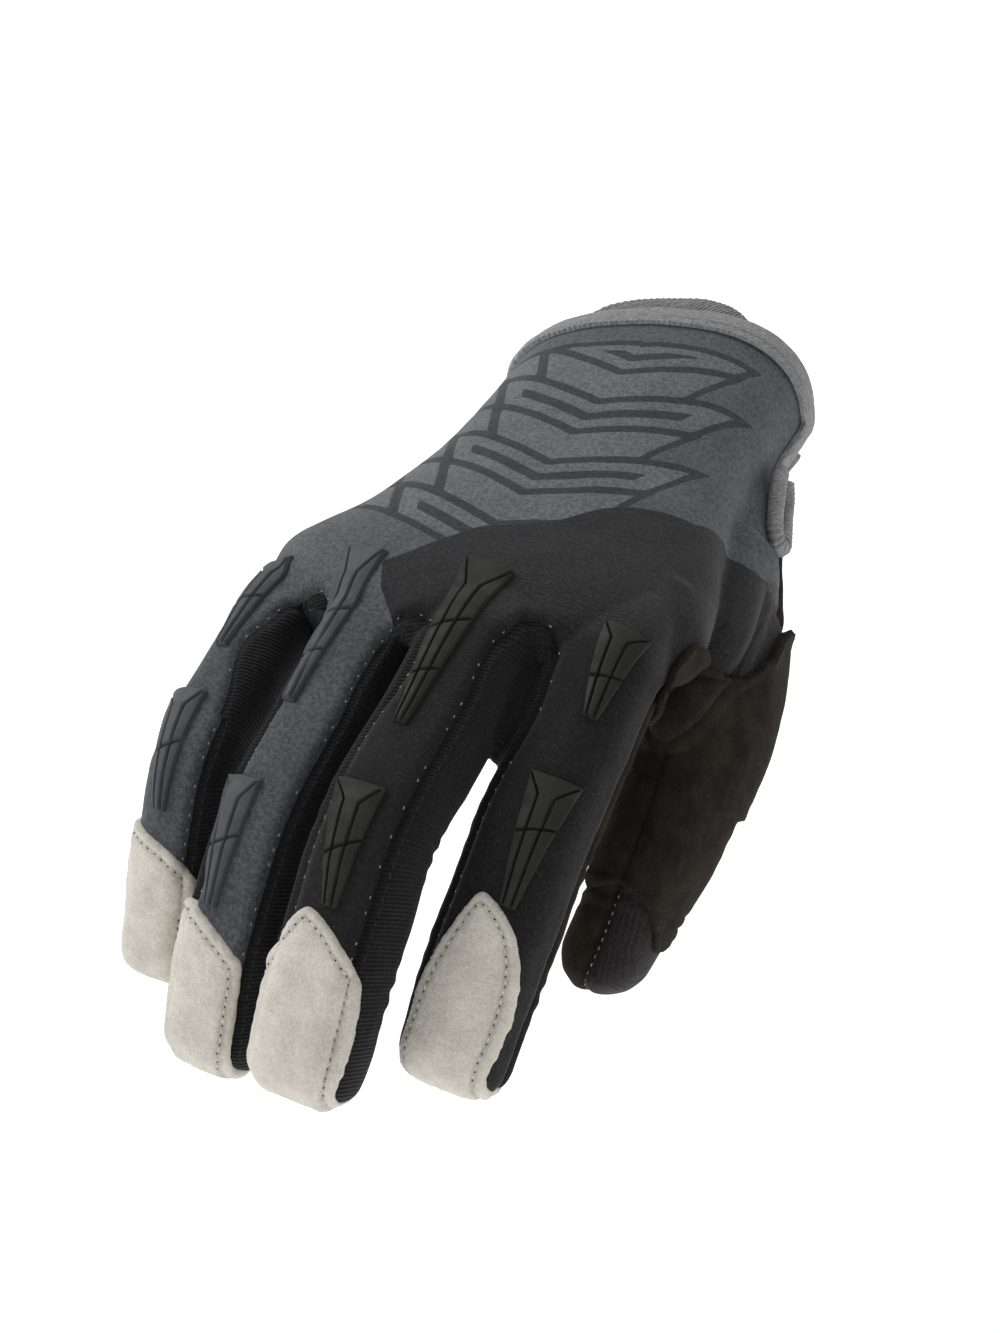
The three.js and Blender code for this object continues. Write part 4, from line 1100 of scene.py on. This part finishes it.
# Pull loop of knitted cord
LOOP_CORD, LOOP_LENGTH, LOOP_WIDTH = 4.4, 18.0, 11.0
loop_ahead = unit(np.array([0.32, -1, -0.35]))
loop_start = hand_place(0.812, 0.2, -0.05) + 2.2 * loop_ahead
loop_out = np.array([1, 0, 0.2])
loop_out = unit(loop_out - loop_ahead * (loop_out @ loop_ahead))
loop_across = np.cross(loop_ahead, loop_out)
side = LOOP_WIDTH / 2 - LOOP_CORD / 2
bend = LOOP_LENGTH - LOOP_CORD / 2 - side
leg = [(side * 0.6, -4), (side * 0.9, -1), (side, 2), *((side, u) for u in np.linspace(4, bend - 1, 5))]
path = leg + [(side * cos(k * pi), bend + side * sin(k * pi)) for k in np.linspace(0, 1, 15)]
path = through(path + [(-u, v) for u, v in leg[::-1]], 190)
centre = loop_start + path[:, :1] * loop_across + path[:, 1:] * loop_ahead
beside = unit(np.cross(unit(np.gradient(centre, axis=0)), loop_out))
run = distances(centre)
ring = np.arange(24) / 24 * 2 * pi
rings = []
for spot, aside, at in zip(centre, beside, run):
    knit = 1 + 0.07 * np.sin(at * 2 * pi / 1.25 + ring) + 0.05 * np.sin(ring * 3 + at * 0.4)
    r = LOOP_CORD / 2 * knit
    rings.append(spot + (r * np.cos(ring))[:, None] * aside * 0.95 + (r * np.sin(ring))[:, None] * loop_out * 0.82)
points, faces = loft(rings)
points, tris = np.array(points), np.array([(f[0], *pair) for f in faces for pair in zip(f[1:], f[2:])])
if np.einsum("ij,ij->i", points[tris[:, 0]], np.cross(points[tris[:, 1]], points[tris[:, 2]])).sum() < 0:
    tris = tris[:, ::-1]
along = np.concatenate([np.repeat(run, 24), [0, run[-1]]])
finish_piece(to_object("pull_loop_knit", points, tris, {"along": along, "across": np.zeros(len(points))}, loop_knit),
             "loop_cord", "pull_loop")

# Floor, light and camera

floor_mesh = bpy.data.meshes.new("floor")
FLOOR_HALF, FLOOR_LEVEL, WALL_TOP = 6, -0.2, 0.9
corners = [(x * FLOOR_HALF, y * FLOOR_HALF) for x, y in ((-1, -1), (1, -1), (1, 1), (-1, 1))]
floor_mesh.from_pydata([(x, y, z) for z in (FLOOR_LEVEL, WALL_TOP) for x, y in corners], [],
                       [(0, 1, 2, 3)] + [(k, k + 4, (k + 1) % 4 + 4, (k + 1) % 4) for k in range(4)])
floor = added("floor", floor_mesh)
paper = Shade("floor_paper", 0.9, 0.2)
paper.shader.inputs["Emission Color"].default_value = (1, 1, 1, 1)
paper.shader.inputs["Emission Strength"].default_value = 0.5
floor_mesh.materials.append(paper.done(paper.mix(paper.noise(0.02), (0.93, 0.93, 0.93, 1), (0.95, 0.95, 0.95, 1))))

world = bpy.data.worlds.new("studio")
bpy.context.scene.world = world
world.use_nodes = True
sky = world.node_tree.nodes["Background"]
sky.inputs["Color"].default_value = (1, 1, 1, 1)
sky.inputs["Strength"].default_value = 0.31

target = Vector((0.0024, -0.09495, -0.01787))


def softbox(name, place, size, power):
    data = bpy.data.lights.new(name, "AREA")
    data.shape = "RECTANGLE"
    data.size, data.size_y = size
    data.energy = power
    obj = added(name, data)
    obj.location = place
    obj.rotation_euler = (target - Vector(place)).to_track_quat("-Z", "Y").to_euler()


softbox("key", (-0.95, -0.15, 0.9), (0.7, 0.7), 9)
softbox("front", (0.35, -1.2, 0.5), (0.8, 0.6), 1.3)
softbox("rear", (-0.1, 0.9, 0.9), (0.9, 0.5), 4.2)

azimuth, elevation, roll, distance = radians(27.90), radians(34.21), radians(-3.00), 0.5588
back = Vector((sin(azimuth) * cos(elevation), -cos(azimuth) * cos(elevation), sin(elevation)))
right = Vector((0, 0, 1)).cross(back).normalized()
up = back.cross(right)
right, up = right * cos(roll) + up * sin(roll), up * cos(roll) - right * sin(roll)
camera_data = bpy.data.cameras.new("camera")
camera_data.sensor_width = 36
camera_data.lens = 68.83
camera_data.clip_end = 50
camera = added("camera", camera_data)
camera.matrix_world = Matrix.Translation(target + back * distance) @ Matrix((right, up, back)).transposed().to_4x4()
bpy.context.scene.camera = camera
bpy.context.scene.view_settings.view_transform = "Standard"
